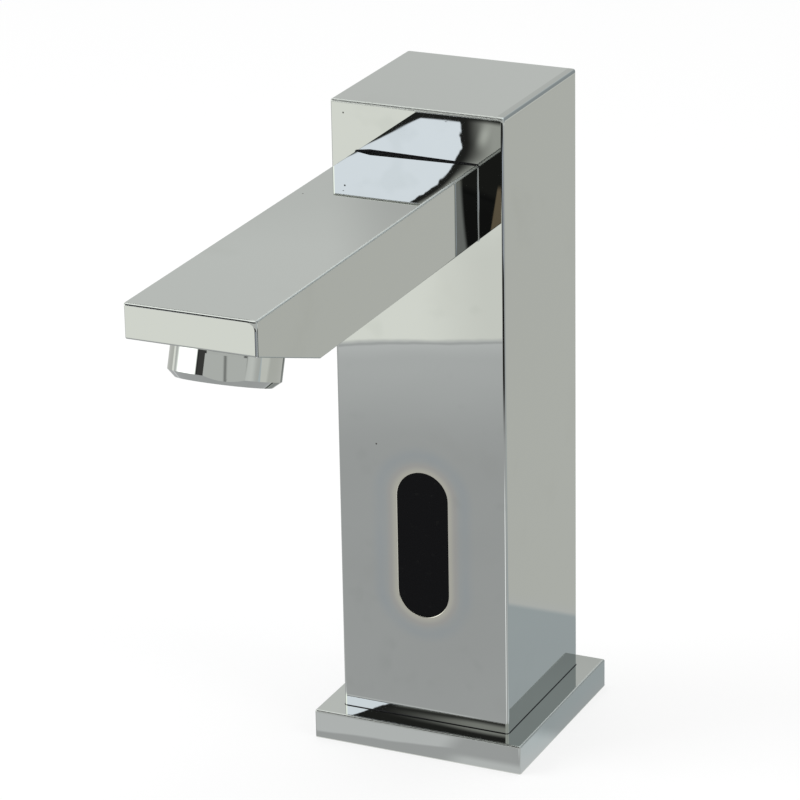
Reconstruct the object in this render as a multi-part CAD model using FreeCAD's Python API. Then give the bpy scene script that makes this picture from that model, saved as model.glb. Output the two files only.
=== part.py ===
import FreeCAD, Part
import math
import os
from FreeCAD import Placement, Rotation, Vector

# A hands-free basin tap: a square column on a square base plate, a straight square spout
# with a slanted tip, an infrared sensor window and a solenoid valve inside the column.
# Origin: centre of the base plate's underside. +Z up, spout towards -Y, +X to the right.
# All lengths are in millimetres.

# ---- Clearances ----
slip = 0.05                  # radial play of tubes, screws and threads in their holes
rest_gap = 0.05              # play between a moving piece and the face that stops it
loose = 0.3                  # play around pieces that are held by something else
overlap = 1.0                # how far a cutting tool runs past a face

# ---- Column ----
column_side = 48.0
column_height = 170.0
column_wall = 2.0
column_edge = 0.8
column_top_edge = 0.6
boss_side = 8.0
boss_height = 12.0

# ---- Base plate and its seal ----
base_side = 60.0
base_height = 8.0
base_skin = 2.5
base_rim = 5.0
base_edge = 0.5
deck_opening_radius = 17.0
deck_gasket_width = 2.0
deck_gasket_thickness = 1.5

# ---- Foot: bridge plate with the stud holes, the water inlet and the cable grommet ----
bridge_thickness = 8.0
bridge_edge = 1.0
stud_radius = 4.0
stud_spacing = 24.0
stud_back = 3.0
foot_screw_radius = 2.0
foot_screw_head_radius = 3.8
foot_screw_head_height = 2.0
foot_screw_length = 20.0
foot_screw_socket_across = 2.5
foot_screw_socket_depth = 1.2
grommet_radius = 4.0
grommet_lip = 1.2
grommet_lip_thickness = 1.5
cable_radius = 2.0
cable_forward = 9.0

# ---- Spout ----
spout_width = 34.0
spout_height = 20.0
spout_drop = 13.0
spout_reach = 124.5
spout_wall = 2.0
spout_edge = 0.4
tip_edge = 0.6
tip_face_height = 8.7
tip_margin = 5.85
heel_margin = 1.55

# ---- Aerator: screwed into the slanted underside of the spout ----
collar_radius = 13.4
collar_height = 7.8
collar_chamfer_height = 1.65
collar_chamfer_width = 1.9
collar_lip_radius = 9.4
collar_lip_thickness = 1.0
collar_band = 1.0
flats_across = 25.0
flats_turn = 25.0
neck_radius = 12.0
neck_length = 4.5
socket_ring_radius = 13.3
socket_flange_radius = 14.0
socket_roof = 1.2
insert_radius = 10.2
insert_wall = 1.0
insert_flange_radius = 11.5
insert_flange_thickness = 0.6
aerator_seal_thickness = 1.2
aerator_seal_width = 3.5
honeycomb_thickness = 3.0
honeycomb_cell = 2.0
honeycomb_web = 0.6
diffuser_thickness = 1.6
diffuser_cell = 1.2
diffuser_web = 1.8
diffuser_ledge = 0.9
screen_thickness = 0.5
screen_cell = 1.6
screen_web = 0.8

# ---- Water way from the valve to the aerator ----
outlet_tube_radius = 4.0
outlet_tube_wall = 1.0
outlet_bend_radius = 14.0
nozzle_wall = 1.5
nozzle_overlap = 8.0

# ---- Sensor window and what is behind it ----
window_width = 14.5
window_height = 41.0
window_centre_height = 50.4
window_edge = 0.2
window_recess = 0.1
window_gasket_thickness = 1.0
window_gasket_width = 2.2
lens_flange_thickness = 1.5
case_width = 24.0
case_margin = 4.5
case_wall = 1.5
case_edge = 1.5
case_gland_radius = 2.4
case_gland_length = 2.0
board_thickness = 1.6
board_setback = 6.7
board_pillar_radius = 1.2
optic_radius = 2.5
optic_rim_radius = 2.9
optic_rim_thickness = 0.9
optic_length = 3.0
optic_spread = 9.0
divider_thickness = 1.2
chip_side = 7.0
chip_thickness = 1.2
capacitor_radius = 2.2
capacitor_length = 5.0

# ---- Carrier plate that holds the sensor and the valve ----
carrier_thickness = 1.5
carrier_foot_width = 26.0
carrier_foot_reach = 12.0
carrier_screw_spread = 9.5
small_screw_radius = 1.5
small_screw_head_radius = 2.7
small_screw_head_height = 1.8
small_screw_socket_across = 2.5
small_screw_socket_depth = 0.9
sensor_screw_length = 4.0
carrier_screw_length = 7.5

# ---- Solenoid valve ----
rear_gap = 4.0
front_gap = 2.0
valve_side = 29.0
valve_body_depth = 14.5
valve_edge = 2.0
valve_screw_inset = 3.0
valve_screw_grip = 8.0
chamber_radius = 11.0
chamber_depth = 7.5
seat_bore_radius = 3.5
seat_wall = 1.5
seat_recess = 1.2
duct_radius = 3.0
rear_duct_radius = 2.6
rear_duct_wall = 0.6
inlet_boss_length = 8.0
outlet_boss_length = 7.0
outlet_boss_radius = 6.6
diaphragm_radius = 13.0
diaphragm_rim_width = 2.0
diaphragm_rim_thickness = 1.5
diaphragm_web_thickness = 0.8
disc_radius = 5.9
disc_thickness = 2.4
pilot_nozzle_radius = 1.2
pilot_nozzle_height = 0.45
pilot_hole_radius = 0.5
bonnet_thickness = 5.5
bonnet_roof = 2.0
bonnet_chamber_radius = 10.5
core_tube_radius = 5.3
core_tube_wall = 0.7
core_tube_cap = 0.8
core_flange_radius = 7.0
core_flange_thickness = 1.0
plunger_play = 0.1
plunger_travel = 3.0
plunger_bore_radius = 2.2
plunger_bore_depth = 5.0
pad_radius = 2.4
pad_thickness = 1.2
fixed_core_length = 3.5
magnet_thickness = 2.4
coil_radius = 11.0
coil_nose_width = 9.0
coil_nose_height = 4.0
coil_lead_radius = 1.25
yoke_thickness = 1.2
yoke_width = 14.0
clip_thickness = 0.6
clip_width = 1.8
clip_groove_depth = 0.3
clip_setback = 0.7

# ---- Inlet fitting with its filter and check valve ----
fitting_radius = 8.0
fitting_shank_radius = 7.0
fitting_flange_radius = 9.0
fitting_flange_thickness = 3.0
port_radius = 5.0
port_length = 10.0
filter_radius = 4.55
filter_thickness = 0.8
filter_cell = 1.2
filter_web = 0.6
throat_radius = 3.0
throat_length = 5.0
check_chamber_radius = 4.4
check_chamber_length = 13.5
poppet_radius = 3.9
poppet_thickness = 2.0
poppet_stem_radius = 1.2
poppet_stem_length = 15.0
guide_thickness = 2.5
guide_hub_radius = 2.4
guide_rim_width = 0.9
guide_arm_width = 1.4
riser_radius = 5.0
riser_wall = 1.0
riser_grip = 11.0
seal_wire_radius = 0.7
seal_setback = 3.0

# ---- Springs ----
check_spring_radius = 2.5
check_spring_wire_radius = 0.35
check_spring_turns = 5
plunger_spring_radius = 1.6
plunger_spring_wire_radius = 0.3
plunger_spring_turns = 5

# ---- Cells, sockets, spring wire and seal rings all have a six-sided section ----
sides = 6

# ---- Worked out: outer form ----
column_half = column_side / 2
inner_half = column_half - column_wall
base_half = base_side / 2
column_top = base_height + column_height
bridge_top = base_height + bridge_thickness
boss_centre = inner_half - boss_side / 2
rim_inner_half = base_half - base_rim
gasket_half = base_half - (base_rim - deck_gasket_width) / 2
window_z = base_height + window_centre_height
spout_top = column_top - spout_drop
spout_bottom = spout_top - spout_height
tip_y = -column_half - spout_reach
slant_length = tip_margin + 2 * collar_radius + heel_margin
slant = math.asin((spout_height - tip_face_height) / slant_length)
along_slant = Vector(0, math.cos(slant), -math.sin(slant))
into_spout = Vector(0, math.sin(slant), math.cos(slant))
tip_corner = Vector(0, tip_y, spout_top - tip_face_height)
aerator_centre = tip_corner + along_slant * (tip_margin + collar_radius)
aerator_place = Placement(aerator_centre, Rotation(Vector(1, 0, 0), -math.degrees(slant)))

# ---- Worked out: layers from the window to the rear wall, along Y ----
wall_inside_y = -inner_half
lens_front_y = -column_half + window_recess
lens_flange_front_y = wall_inside_y + window_gasket_thickness
case_front_y = lens_flange_front_y + lens_flange_thickness
body_back_y = inner_half - rear_gap
body_front_y = body_back_y - valve_body_depth
bonnet_front_y = body_front_y - bonnet_thickness
carrier_front_y = bonnet_front_y - carrier_thickness
duct_y = body_front_y + valve_body_depth / 2
rear_duct_y = body_front_y + chamber_depth + rear_duct_wall + rear_duct_radius
seat_y = body_front_y + seat_recess
disc_back_y = seat_y - rest_gap
disc_front_y = disc_back_y - disc_thickness
pilot_y = disc_front_y - pilot_nozzle_height
bonnet_roof_y = bonnet_front_y + bonnet_roof
core_tube_end_y = -inner_half + front_gap
magnet_front_y = core_tube_end_y + core_tube_cap
fixed_core_front_y = magnet_front_y + magnet_thickness
fixed_core_back_y = fixed_core_front_y + fixed_core_length
plunger_front_y = fixed_core_back_y + rest_gap + plunger_travel
plunger_back_y = pilot_y - rest_gap
core_bore_radius = core_tube_radius - core_tube_wall
clip_front_y = core_tube_end_y + clip_setback
yoke_front_y = clip_front_y + clip_thickness
coil_front_y = yoke_front_y + yoke_thickness
coil_middle_y = (coil_front_y + carrier_front_y) / 2

# ---- Worked out: heights ----
case_height = window_height + 2 * case_margin
case_bottom = window_z - case_height / 2
case_top = window_z + case_height / 2
valve_half = valve_side / 2
nozzle_radius = outlet_tube_radius + nozzle_wall
outlet_z = spout_top - spout_wall - nozzle_radius - rest_gap
bend_start_z = outlet_z - outlet_bend_radius
coil_bottom_reach = coil_radius + coil_nose_height + case_gland_length
valve_top_reach = valve_half + outlet_boss_length
valve_z = (case_top + coil_bottom_reach + bend_start_z - valve_top_reach) / 2
valve_screw_spread = valve_half - valve_screw_inset
filter_z = base_height + port_length
throat_z = filter_z + filter_thickness
check_seat_z = throat_z + throat_length
guide_z = check_seat_z + check_chamber_length
riser_bottom = guide_z + guide_thickness
fitting_top = riser_bottom + riser_grip
valve_inlet_z = valve_z - valve_half - inlet_boss_length
riser_top = valve_inlet_z + riser_grip - seal_setback
valve_outlet_z = valve_z + valve_half + outlet_boss_length
outlet_tube_bottom = valve_z + valve_half - rest_gap
seal_groove_depth = 2 * seal_wire_radius
seal_groove_half = seal_wire_radius + rest_gap
riser_seal_heights = (fitting_top - seal_setback, valve_inlet_z + seal_setback)
outlet_seal_z = valve_outlet_z - seal_setback

# ---- Worked out: aerator stack, measured from the slanted face into the spout ----
insert_flange_low = neck_length + 2 * rest_gap
seal_low = insert_flange_low + insert_flange_thickness
socket_depth = seal_low + aerator_seal_thickness + rest_gap
insert_low = collar_lip_thickness + rest_gap - collar_height
honeycomb_top = insert_low + honeycomb_thickness
insert_top = insert_flange_low + insert_flange_thickness
insert_bore_radius = insert_radius - insert_wall
diffuser_low = insert_top - diffuser_thickness - screen_thickness

UP = Vector(0, 0, 1)
BACK = Vector(0, 1, 0)
TINY = 1e-6


# ---- Helpers ----
def block(x_low, x_high, y_low, y_high, z_low, z_high):
    size = (x_high - x_low, y_high - y_low, z_high - z_low)
    return Part.makeBox(*size, Vector(x_low, y_low, z_low))


def slab(half, z_low, z_high):
    return block(-half, half, -half, half, z_low, z_high)


def rod(radius, start, direction, length):
    return Part.makeCylinder(radius, length, start, direction)


def pipe(outer, inner, start, direction, length):
    return rod(outer, start, direction, length).cut(rod(inner, start, direction, length))


def upright_rod(radius, x, y, z_low, z_high):
    return rod(radius, Vector(x, y, z_low), UP, z_high - z_low)


def level_rod(radius, x, z, y_front, y_back):
    return rod(radius, Vector(x, y_front, z), BACK, y_back - y_front)


def rounded(shape, radius, wanted):
    return shape.makeFillet(radius, [edge for edge in shape.Edges if wanted(edge)])


def runs_along(direction):
    def test(edge):
        step = edge.Vertexes[-1].Point - edge.Vertexes[0].Point
        return step.Length > TINY and step.cross(direction).Length < TINY
    return test


def lies_at_height(z):
    return lambda edge: all(abs(corner.Z - z) < TINY for corner in edge.Vertexes)


def stadium(width, height, y_front, y_back):
    """A long hole or plug with round ends, upright, centred on the window."""
    reach = height / 2 - width / 2
    middle = block(-width / 2, width / 2, y_front, y_back, window_z - reach, window_z + reach)
    ends = [level_rod(width / 2, 0, window_z + side * reach, y_front, y_back) for side in (-1, 1)]
    return middle.multiFuse(ends).removeSplitter()


def four_corners(spread):
    return [(x * spread, y * spread) for x in (-1, 1) for y in (-1, 1)]


def hexagon_grid(pitch, reach):
    """Centres of a honeycomb pattern whose cells stay within reach of the middle."""
    count = int(reach / pitch) + 1
    centres = []
    for row in range(-count, count + 1):
        for column in range(-count, count + 1):
            x = pitch * (column + row / 2)
            y = pitch * row * math.sqrt(3) / 2
            if math.hypot(x, y) <= reach + TINY:
                centres.append((x, y))
    return centres


def polygon(radius, centre, facing):
    """A closed wire of equal sides, its corners on a circle round centre that faces one way."""
    turn = Rotation(UP, facing)
    corners = []
    for number in range(sides):
        angle = 2 * math.pi * (number + 0.5) / sides
        corner = Vector(radius * math.cos(angle), radius * math.sin(angle), 0)
        corners.append(centre + turn.multVec(corner))
    return Part.makePolygon(corners + corners[:1])


def six_sided_rod(across, x, y, z_low, z_high):
    corner_radius = across / 2 / math.cos(math.pi / sides)
    outline = Part.Face(polygon(corner_radius, Vector(x, y, z_low), UP))
    return outline.extrude(UP * (z_high - z_low))


def honeycomb(cell, web, reach, z_low, z_high):
    """The cells to cut out of a floor between two heights, none further out than reach."""
    centres = hexagon_grid(cell + web, reach - cell / math.sqrt(3))
    cells = [six_sided_rod(cell, x, y, z_low - overlap, z_high + overlap) for x, y in centres]
    return Part.makeCompound(cells)


def perforated_disc(radius, low, high, cell, web, border):
    disc = upright_rod(radius, 0, 0, low, high)
    return disc.cut(honeycomb(cell, web, radius - border, low, high))


def biarc(start, start_direction, end, end_direction):
    """Two round arcs that leave start and reach end along the given directions."""
    chord = end - start
    both = start_direction + end_direction
    spare = 4 - both.dot(both)
    along = chord.dot(both)
    reach = (math.sqrt(along * along + spare * chord.dot(chord)) - along) / spare
    first = start + start_direction * reach
    second = end - end_direction * reach
    middle = (first + second) / 2
    arcs = []
    for low, corner, high in ((start, first, middle), (middle, second, end)):
        centre = (low + high) / 2
        half = (high - low).Length / 2
        rise = (corner - centre).Length
        bulge = half * math.tan(math.atan2(rise, half) / 2)
        top = centre + (corner - centre) * (bulge / rise)
        arcs.append(Part.Arc(low, top, high).toShape())
    return arcs


def spring(radius, wire_radius, turns, length):
    """A coil spring along +Z from 0 to length, as one unbroken wire."""
    travel = length - 2 * wire_radius
    quarters = 4 * turns

    def point(step):
        angle = step * math.pi / 2
        height = wire_radius + travel * step / quarters
        return Vector(radius * math.cos(angle), radius * math.sin(angle), height)

    def direction(step):
        angle = step * math.pi / 2
        rise = travel / quarters * 2 / math.pi
        heading = Vector(-radius * math.sin(angle), radius * math.cos(angle), rise)
        return heading.normalize()

    edges = []
    for step in range(quarters):
        edges += biarc(point(step), direction(step), point(step + 1), direction(step + 1))
    sweep = Part.BRepOffsetAPI.MakePipeShell(Part.Wire(edges))
    sweep.add(polygon(wire_radius, point(0), direction(0)))
    sweep.build()
    sweep.makeSolid()
    coil_gap = travel / turns - 2 * wire_radius
    print(f"spring of {turns} turns: least gap between coils {coil_gap:.2f} mm")
    return sweep.shape()


def o_ring(inner_radius, x, y, z):
    section_centre = Vector(x + inner_radius + seal_wire_radius, y, z)
    section = Part.Face(polygon(seal_wire_radius, section_centre, BACK))
    return section.revolve(Vector(x, y, z), UP, 360)


def seal_groove(radius, y, z):
    low = Vector(0, y, z - seal_groove_half)
    return rod(radius + seal_groove_depth, low, UP, 2 * seal_groove_half)


# ---- Column, base plate and seal ----
def column_body():
    shell = slab(column_half, base_height, column_top)
    shell = rounded(shell, column_edge, runs_along(UP))
    shell = rounded(shell, column_top_edge, lies_at_height(column_top))
    shell = shell.cut(slab(inner_half, base_height - overlap, column_top - column_wall))
    wall_cut = (-column_half - overlap, -inner_half + overlap)
    shell = shell.cut(stadium(window_width, window_height, *wall_cut))
    shell = rounded(shell, window_edge, is_window_edge)
    spout_inside = spout_width / 2 - spout_wall
    spout_hole = block(-spout_inside, spout_inside, *wall_cut,
                       spout_bottom + spout_wall, spout_top - spout_wall)
    shell = shell.cut(spout_hole)
    for x, y in four_corners(boss_centre):
        half = boss_side / 2
        boss = block(x - half, x + half, y - half, y + half, bridge_top, bridge_top + boss_height)
        shell = shell.fuse(boss)
    tip = base_height - foot_screw_head_height + foot_screw_length
    for x, y in four_corners(boss_centre):
        hole = upright_rod(foot_screw_radius + slip, x, y, bridge_top - overlap, tip)
        shell = shell.cut(hole)
    return shell.removeSplitter()


def is_window_edge(edge):
    on_face = all(abs(corner.Y + column_half) < TINY for corner in edge.Vertexes)
    centre = edge.CenterOfMass
    near = abs(centre.x) <= window_width / 2 + TINY
    return on_face and near and abs(centre.z - window_z) <= window_height / 2 + TINY


def base_plate():
    plate = slab(base_half, 0, base_height)
    plate = rounded(plate, base_edge, runs_along(UP))
    plate = rounded(plate, base_edge, lies_at_height(base_height))
    plate = plate.cut(slab(rim_inner_half, -overlap, base_height - base_skin))
    plate = plate.cut(gasket_ring(-overlap, deck_gasket_thickness))
    opening = upright_rod(deck_opening_radius, 0, 0, 0, base_height + overlap)
    plate = plate.cut(opening)
    for x, y in four_corners(boss_centre):
        plate = plate.cut(countersink(x, y, slip))
    return plate


def gasket_ring(z_low, z_high):
    outer = slab(gasket_half, z_low, z_high)
    return outer.cut(slab(gasket_half - deck_gasket_width, z_low, z_high))


def countersink(x, y, play):
    """The space of one countersunk foot screw, with some play all round."""
    head_low = base_height - base_skin
    head_high = head_low + foot_screw_head_height
    wide = foot_screw_head_radius + play
    narrow = foot_screw_radius + play
    head = Part.makeCone(wide, narrow, foot_screw_head_height, Vector(x, y, head_low), UP)
    shank_top = head_low + foot_screw_length + play
    return head.fuse(upright_rod(narrow, x, y, head_high, shank_top))


def foot_screws():
    screws = []
    for x, y in four_corners(boss_centre):
        screw = countersink(x, y, 0)
        low = base_height - base_skin
        socket_top = low + foot_screw_socket_depth
        screw = screw.cut(six_sided_rod(foot_screw_socket_across, x, y, low, socket_top))
        screws.append(screw)
    return Part.makeCompound(screws)


# ---- Foot of the column ----
def bridge_plate():
    plate = slab(inner_half - slip, base_height, bridge_top)
    plate = rounded(plate, bridge_edge, runs_along(UP))
    through = (base_height - overlap, bridge_top + overlap)
    for x, y in four_corners(boss_centre):
        plate = plate.cut(upright_rod(foot_screw_radius + slip, x, y, *through))
    for side in (-1, 1):
        stud_hole = upright_rod(stud_radius + slip, side * stud_spacing / 2, stud_back, *through)
        plate = plate.cut(stud_hole)
        tip = bridge_top + carrier_thickness - carrier_screw_length
        tapped = upright_rod(small_screw_radius + slip, side * carrier_screw_spread,
                             -cable_forward, tip, bridge_top + overlap)
        plate = plate.cut(tapped)
    plate = plate.cut(upright_rod(fitting_shank_radius + slip, 0, duct_y, *through))
    return plate.cut(upright_rod(grommet_radius, 0, -cable_forward, *through))


def cable_grommet():
    y = -cable_forward
    lip_radius = grommet_radius + grommet_lip
    low = base_height - grommet_lip_thickness
    high = bridge_top + grommet_lip_thickness
    grommet = upright_rod(grommet_radius, 0, y, low, high)
    grommet = grommet.fuse(upright_rod(lip_radius, 0, y, low, base_height))
    grommet = grommet.fuse(upright_rod(lip_radius, 0, y, bridge_top, high))
    return grommet.cut(upright_rod(cable_radius, 0, y, low - overlap, high + overlap))


# ---- Inlet fitting, filter and check valve ----
def inlet_fitting():
    body = upright_rod(fitting_shank_radius, 0, duct_y, base_height, bridge_top)
    flange_top = bridge_top + fitting_flange_thickness
    body = body.fuse(upright_rod(fitting_flange_radius, 0, duct_y, bridge_top, flange_top))
    body = body.fuse(upright_rod(fitting_radius, 0, duct_y, flange_top, fitting_top))
    bores = (
        (port_radius + slip, base_height - overlap, filter_z),
        (filter_radius + slip, base_height, throat_z),
        (throat_radius, base_height, check_seat_z),
        (check_chamber_radius, check_seat_z, guide_z),
        (riser_radius + slip, guide_z, fitting_top + overlap),
    )
    for radius, low, high in bores:
        body = body.cut(upright_rod(radius, 0, duct_y, low, high))
    return body.cut(seal_groove(riser_radius, duct_y, riser_seal_heights[0]))


def inlet_filter():
    disc = perforated_disc(filter_radius, filter_z, throat_z, filter_cell, filter_web,
                           filter_radius - throat_radius)
    return moved(disc, Vector(0, duct_y, 0))


def moved(shape, step):
    shape.translate(step)
    return shape


def check_poppet():
    low = check_seat_z + rest_gap
    stem_top = low + poppet_thickness + poppet_stem_length
    disc = upright_rod(poppet_radius, 0, duct_y, low, low + poppet_thickness)
    return disc.fuse(upright_rod(poppet_stem_radius, 0, duct_y, low, stem_top))


def check_spring():
    low = check_seat_z + poppet_thickness + 2 * rest_gap
    coil = spring(check_spring_radius, check_spring_wire_radius, check_spring_turns,
                  guide_z - rest_gap - low)
    return moved(coil, Vector(0, duct_y, low))


def check_guide():
    """A spider: a rim and a hub joined by four arms, so that water passes between them."""
    rim = pipe(riser_radius, riser_radius - guide_rim_width, Vector(0, duct_y, guide_z), UP,
               guide_thickness)
    half = guide_arm_width / 2
    reach = riser_radius - guide_rim_width / 2
    top = guide_z + guide_thickness
    arms = block(-reach, reach, duct_y - half, duct_y + half, guide_z, top)
    arms = arms.fuse(block(-half, half, duct_y - reach, duct_y + reach, guide_z, top))
    guide = rim.fuse(arms).fuse(upright_rod(guide_hub_radius, 0, duct_y, guide_z, top))
    bore = upright_rod(poppet_stem_radius + slip, 0, duct_y, guide_z - overlap, top + overlap)
    return guide.cut(bore).removeSplitter()


def riser_tube():
    start = Vector(0, duct_y, riser_bottom)
    return pipe(riser_radius, riser_radius - riser_wall, start, UP, riser_top - riser_bottom)


def tube_seals():
    rings = [o_ring(riser_radius, 0, duct_y, z) for z in riser_seal_heights]
    rings.append(o_ring(outlet_tube_radius, 0, duct_y, outlet_seal_z))
    return Part.makeCompound(rings)


# ---- Carrier plate and its screws ----
def carrier_plate():
    half = carrier_foot_width / 2
    foot_front = bonnet_front_y - carrier_foot_reach
    foot_top = bridge_top + carrier_thickness
    foot = block(-half, half, foot_front, bonnet_front_y, bridge_top, foot_top)
    web = block(-half, half, carrier_front_y, bonnet_front_y, bridge_top, valve_z)
    head = block(-valve_half, valve_half, carrier_front_y, bonnet_front_y,
                 valve_z - valve_half, valve_z + valve_half)
    plate = foot.fuse(web).fuse(head).removeSplitter()
    wall_cut = (carrier_front_y - overlap, bonnet_front_y + overlap)
    plate = plate.cut(level_rod(core_tube_radius + slip, 0, valve_z, *wall_cut))
    for x, z in four_corners(valve_screw_spread):
        plate = plate.cut(level_rod(small_screw_radius + slip, x, valve_z + z, *wall_cut))
    for x, z in sensor_screw_places():
        plate = plate.cut(level_rod(small_screw_radius + slip, x, z, *wall_cut))
    floor_cut = (bridge_top - overlap, foot_top + overlap)
    cable_hole = grommet_radius + grommet_lip + loose
    plate = plate.cut(upright_rod(cable_hole, 0, -cable_forward, *floor_cut))
    for side in (-1, 1):
        screw_hole = upright_rod(small_screw_radius + slip, side * carrier_screw_spread,
                                 -cable_forward, *floor_cut)
        plate = plate.cut(screw_hole)
    return plate


def cap_screw(length):
    """A screw that points along -Z: its head stands on z = 0 and its shank reaches down."""
    head = upright_rod(small_screw_head_radius, 0, 0, 0, small_screw_head_height)
    socket_low = small_screw_head_height - small_screw_socket_depth
    socket = six_sided_rod(small_screw_socket_across, 0, 0, socket_low,
                           small_screw_head_height + overlap)
    return head.cut(socket).fuse(upright_rod(small_screw_radius, 0, 0, -length, 0))


def placed_screws(length, places, axis, angle):
    screws = []
    for place in places:
        screw = cap_screw(length)
        screw.Placement = Placement(place, Rotation(axis, angle))
        screws.append(screw)
    return Part.makeCompound(screws)


def carrier_screws():
    z = bridge_top + carrier_thickness
    places = [Vector(side * carrier_screw_spread, -cable_forward, z) for side in (-1, 1)]
    return placed_screws(carrier_screw_length, places, UP, 0)


def sensor_screw_places():
    inset = case_wall + board_pillar_radius + small_screw_head_radius
    return [(0, case_bottom + inset), (0, case_top - inset)]


def sensor_screws():
    places = [Vector(x, bonnet_front_y, z) for x, z in sensor_screw_places()]
    return placed_screws(carrier_thickness + sensor_screw_length, places, Vector(1, 0, 0), -90)


def bonnet_screws():
    places = [Vector(x, carrier_front_y, valve_z + z) for x, z in four_corners(valve_screw_spread)]
    length = carrier_thickness + bonnet_thickness + valve_screw_grip
    return placed_screws(length, places, Vector(1, 0, 0), 90)


# ---- Sensor ----
def sensor_lens():
    plug = stadium(window_width - 2 * slip, window_height - 2 * slip,
                   lens_front_y, lens_flange_front_y)
    flange = sensor_block(0, lens_flange_front_y, case_front_y)
    return plug.fuse(flange).removeSplitter()


def sensor_block(inset, y_front, y_back):
    """The outline of the sensor case, drawn in by inset, between two depths."""
    half = case_width / 2 - inset
    shape = block(-half, half, y_front, y_back, case_bottom + inset, case_top - inset)
    if inset == 0:
        shape = rounded(shape, case_edge, runs_along(BACK))
    return shape


def window_gasket():
    depths = (wall_inside_y, lens_flange_front_y)
    grow = 2 * window_gasket_width
    outer = stadium(window_width + grow, window_height + grow, *depths)
    inner = stadium(window_width + loose, window_height + loose,
                    depths[0] - overlap, depths[1] + overlap)
    return outer.cut(inner)


def board_depths():
    front = case_front_y + board_setback
    return front, front + board_thickness


def sensor_case():
    case = sensor_block(0, case_front_y, carrier_front_y)
    case = case.cut(sensor_block(case_wall, case_front_y - overlap, carrier_front_y - case_wall))
    board_front, board_back = board_depths()
    inner_back = carrier_front_y - case_wall
    for x, z in pillar_places():
        case = case.fuse(level_rod(board_pillar_radius, x, z, board_back, inner_back))
    half = case_width / 2 - case_wall
    divider = block(-half, half, case_front_y, board_front - rest_gap,
                    window_z - divider_thickness / 2, window_z + divider_thickness / 2)
    case = case.fuse(divider)
    for x, z in sensor_screw_places():
        boss_radius = small_screw_radius + case_wall
        boss_front = carrier_front_y - sensor_screw_length - case_wall
        case = case.fuse(level_rod(boss_radius, x, z, boss_front, carrier_front_y))
        hole_front = carrier_front_y - sensor_screw_length - slip
        hole = level_rod(small_screw_radius + slip, x, z, hole_front, carrier_front_y + overlap)
        case = case.cut(hole)
    gland_top = case_top + case_gland_length
    case = case.fuse(upright_rod(case_gland_radius, 0, coil_middle_y, case_top - case_wall,
                                 gland_top))
    case = case.cut(upright_rod(coil_lead_radius + slip, 0, coil_middle_y,
                                case_top - case_wall, gland_top + overlap))
    return case.removeSplitter()


def pillar_places():
    x = case_width / 2 - case_wall - board_pillar_radius
    z = case_height / 2 - case_wall - board_pillar_radius
    return [(side * x, window_z + end * z) for side in (-1, 1) for end in (-1, 1)]


def sensor_board():
    front, back = board_depths()
    return sensor_block(case_wall + rest_gap, front, back)


def optic(z):
    """A domed infrared diode or detector that stands on the front of the board."""
    board_front, _ = board_depths()
    tip_y = board_front - optic_length
    body = level_rod(optic_radius, 0, z, tip_y, board_front)
    rim = level_rod(optic_rim_radius, 0, z, board_front - optic_rim_thickness, board_front)
    dome = Part.makeSphere(optic_radius, Vector(0, tip_y, z))
    return body.fuse(rim).fuse(dome).removeSplitter()


def board_parts():
    _, back = board_depths()
    half = chip_side / 2
    chip = block(-half, half, back, back + chip_thickness, window_z - half, window_z + half)
    capacitor_z = window_z + chip_side
    capacitor = level_rod(capacitor_radius, 0, capacitor_z, back, back + capacitor_length)
    return Part.makeCompound([chip, capacitor])


# ---- Solenoid valve ----
def valve_body():
    body = block(-valve_half, valve_half, body_front_y, body_back_y,
                 valve_z - valve_half, valve_z + valve_half)
    body = rounded(body, valve_edge, runs_along(BACK))
    inlet_boss = upright_rod(valve_body_depth / 2, 0, duct_y, valve_inlet_z, valve_z - chamber_radius)
    outlet_boss = upright_rod(outlet_boss_radius, 0, duct_y, valve_z + chamber_radius,
                              valve_outlet_z)
    body = body.fuse(inlet_boss).fuse(outlet_boss)
    chamber_back = body_front_y + chamber_depth
    chamber = level_rod(chamber_radius, 0, valve_z, body_front_y - overlap, chamber_back)
    seat_ring = level_rod(seat_bore_radius + seat_wall, 0, valve_z, seat_y, chamber_back)
    body = body.cut(chamber.cut(seat_ring))
    outlet_bore_back = rear_duct_y + rear_duct_radius
    body = body.cut(level_rod(seat_bore_radius, 0, valve_z, body_front_y, outlet_bore_back))
    body = body.cut(upright_rod(rear_duct_radius, 0, rear_duct_y, valve_z, valve_z + valve_half + overlap))
    riser_socket_top = riser_top + rest_gap
    body = body.cut(upright_rod(riser_radius + slip, 0, duct_y, valve_inlet_z - overlap,
                                riser_socket_top))
    duct_top = valve_z - seat_bore_radius - seat_wall - seat_wall / 2
    body = body.cut(upright_rod(duct_radius, 0, duct_y, valve_inlet_z, duct_top))
    body = body.cut(upright_rod(outlet_tube_radius + slip, 0, duct_y, valve_z + valve_half - 2 * rest_gap,
                                valve_outlet_z + overlap))
    body = body.cut(seal_groove(riser_radius, duct_y, riser_seal_heights[1]))
    body = body.cut(seal_groove(outlet_tube_radius, duct_y, outlet_seal_z))
    for x, z in four_corners(valve_screw_spread):
        hole = level_rod(small_screw_radius + slip, x, valve_z + z, body_front_y - overlap,
                         body_front_y + valve_screw_grip + slip)
        body = body.cut(hole)
    return body.removeSplitter()


def diaphragm():
    """The rubber ring that joins the moving disc to the clamped rim."""
    rim_front = body_front_y - diaphragm_rim_thickness
    rim = pipe(diaphragm_radius, diaphragm_radius - diaphragm_rim_width,
               Vector(0, rim_front, valve_z), BACK, diaphragm_rim_thickness)
    web_front = body_front_y - diaphragm_web_thickness
    web = pipe(diaphragm_radius - diaphragm_rim_width / 2, disc_radius + loose,
               Vector(0, web_front, valve_z), BACK, diaphragm_web_thickness)
    return rim.fuse(web).removeSplitter()


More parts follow.
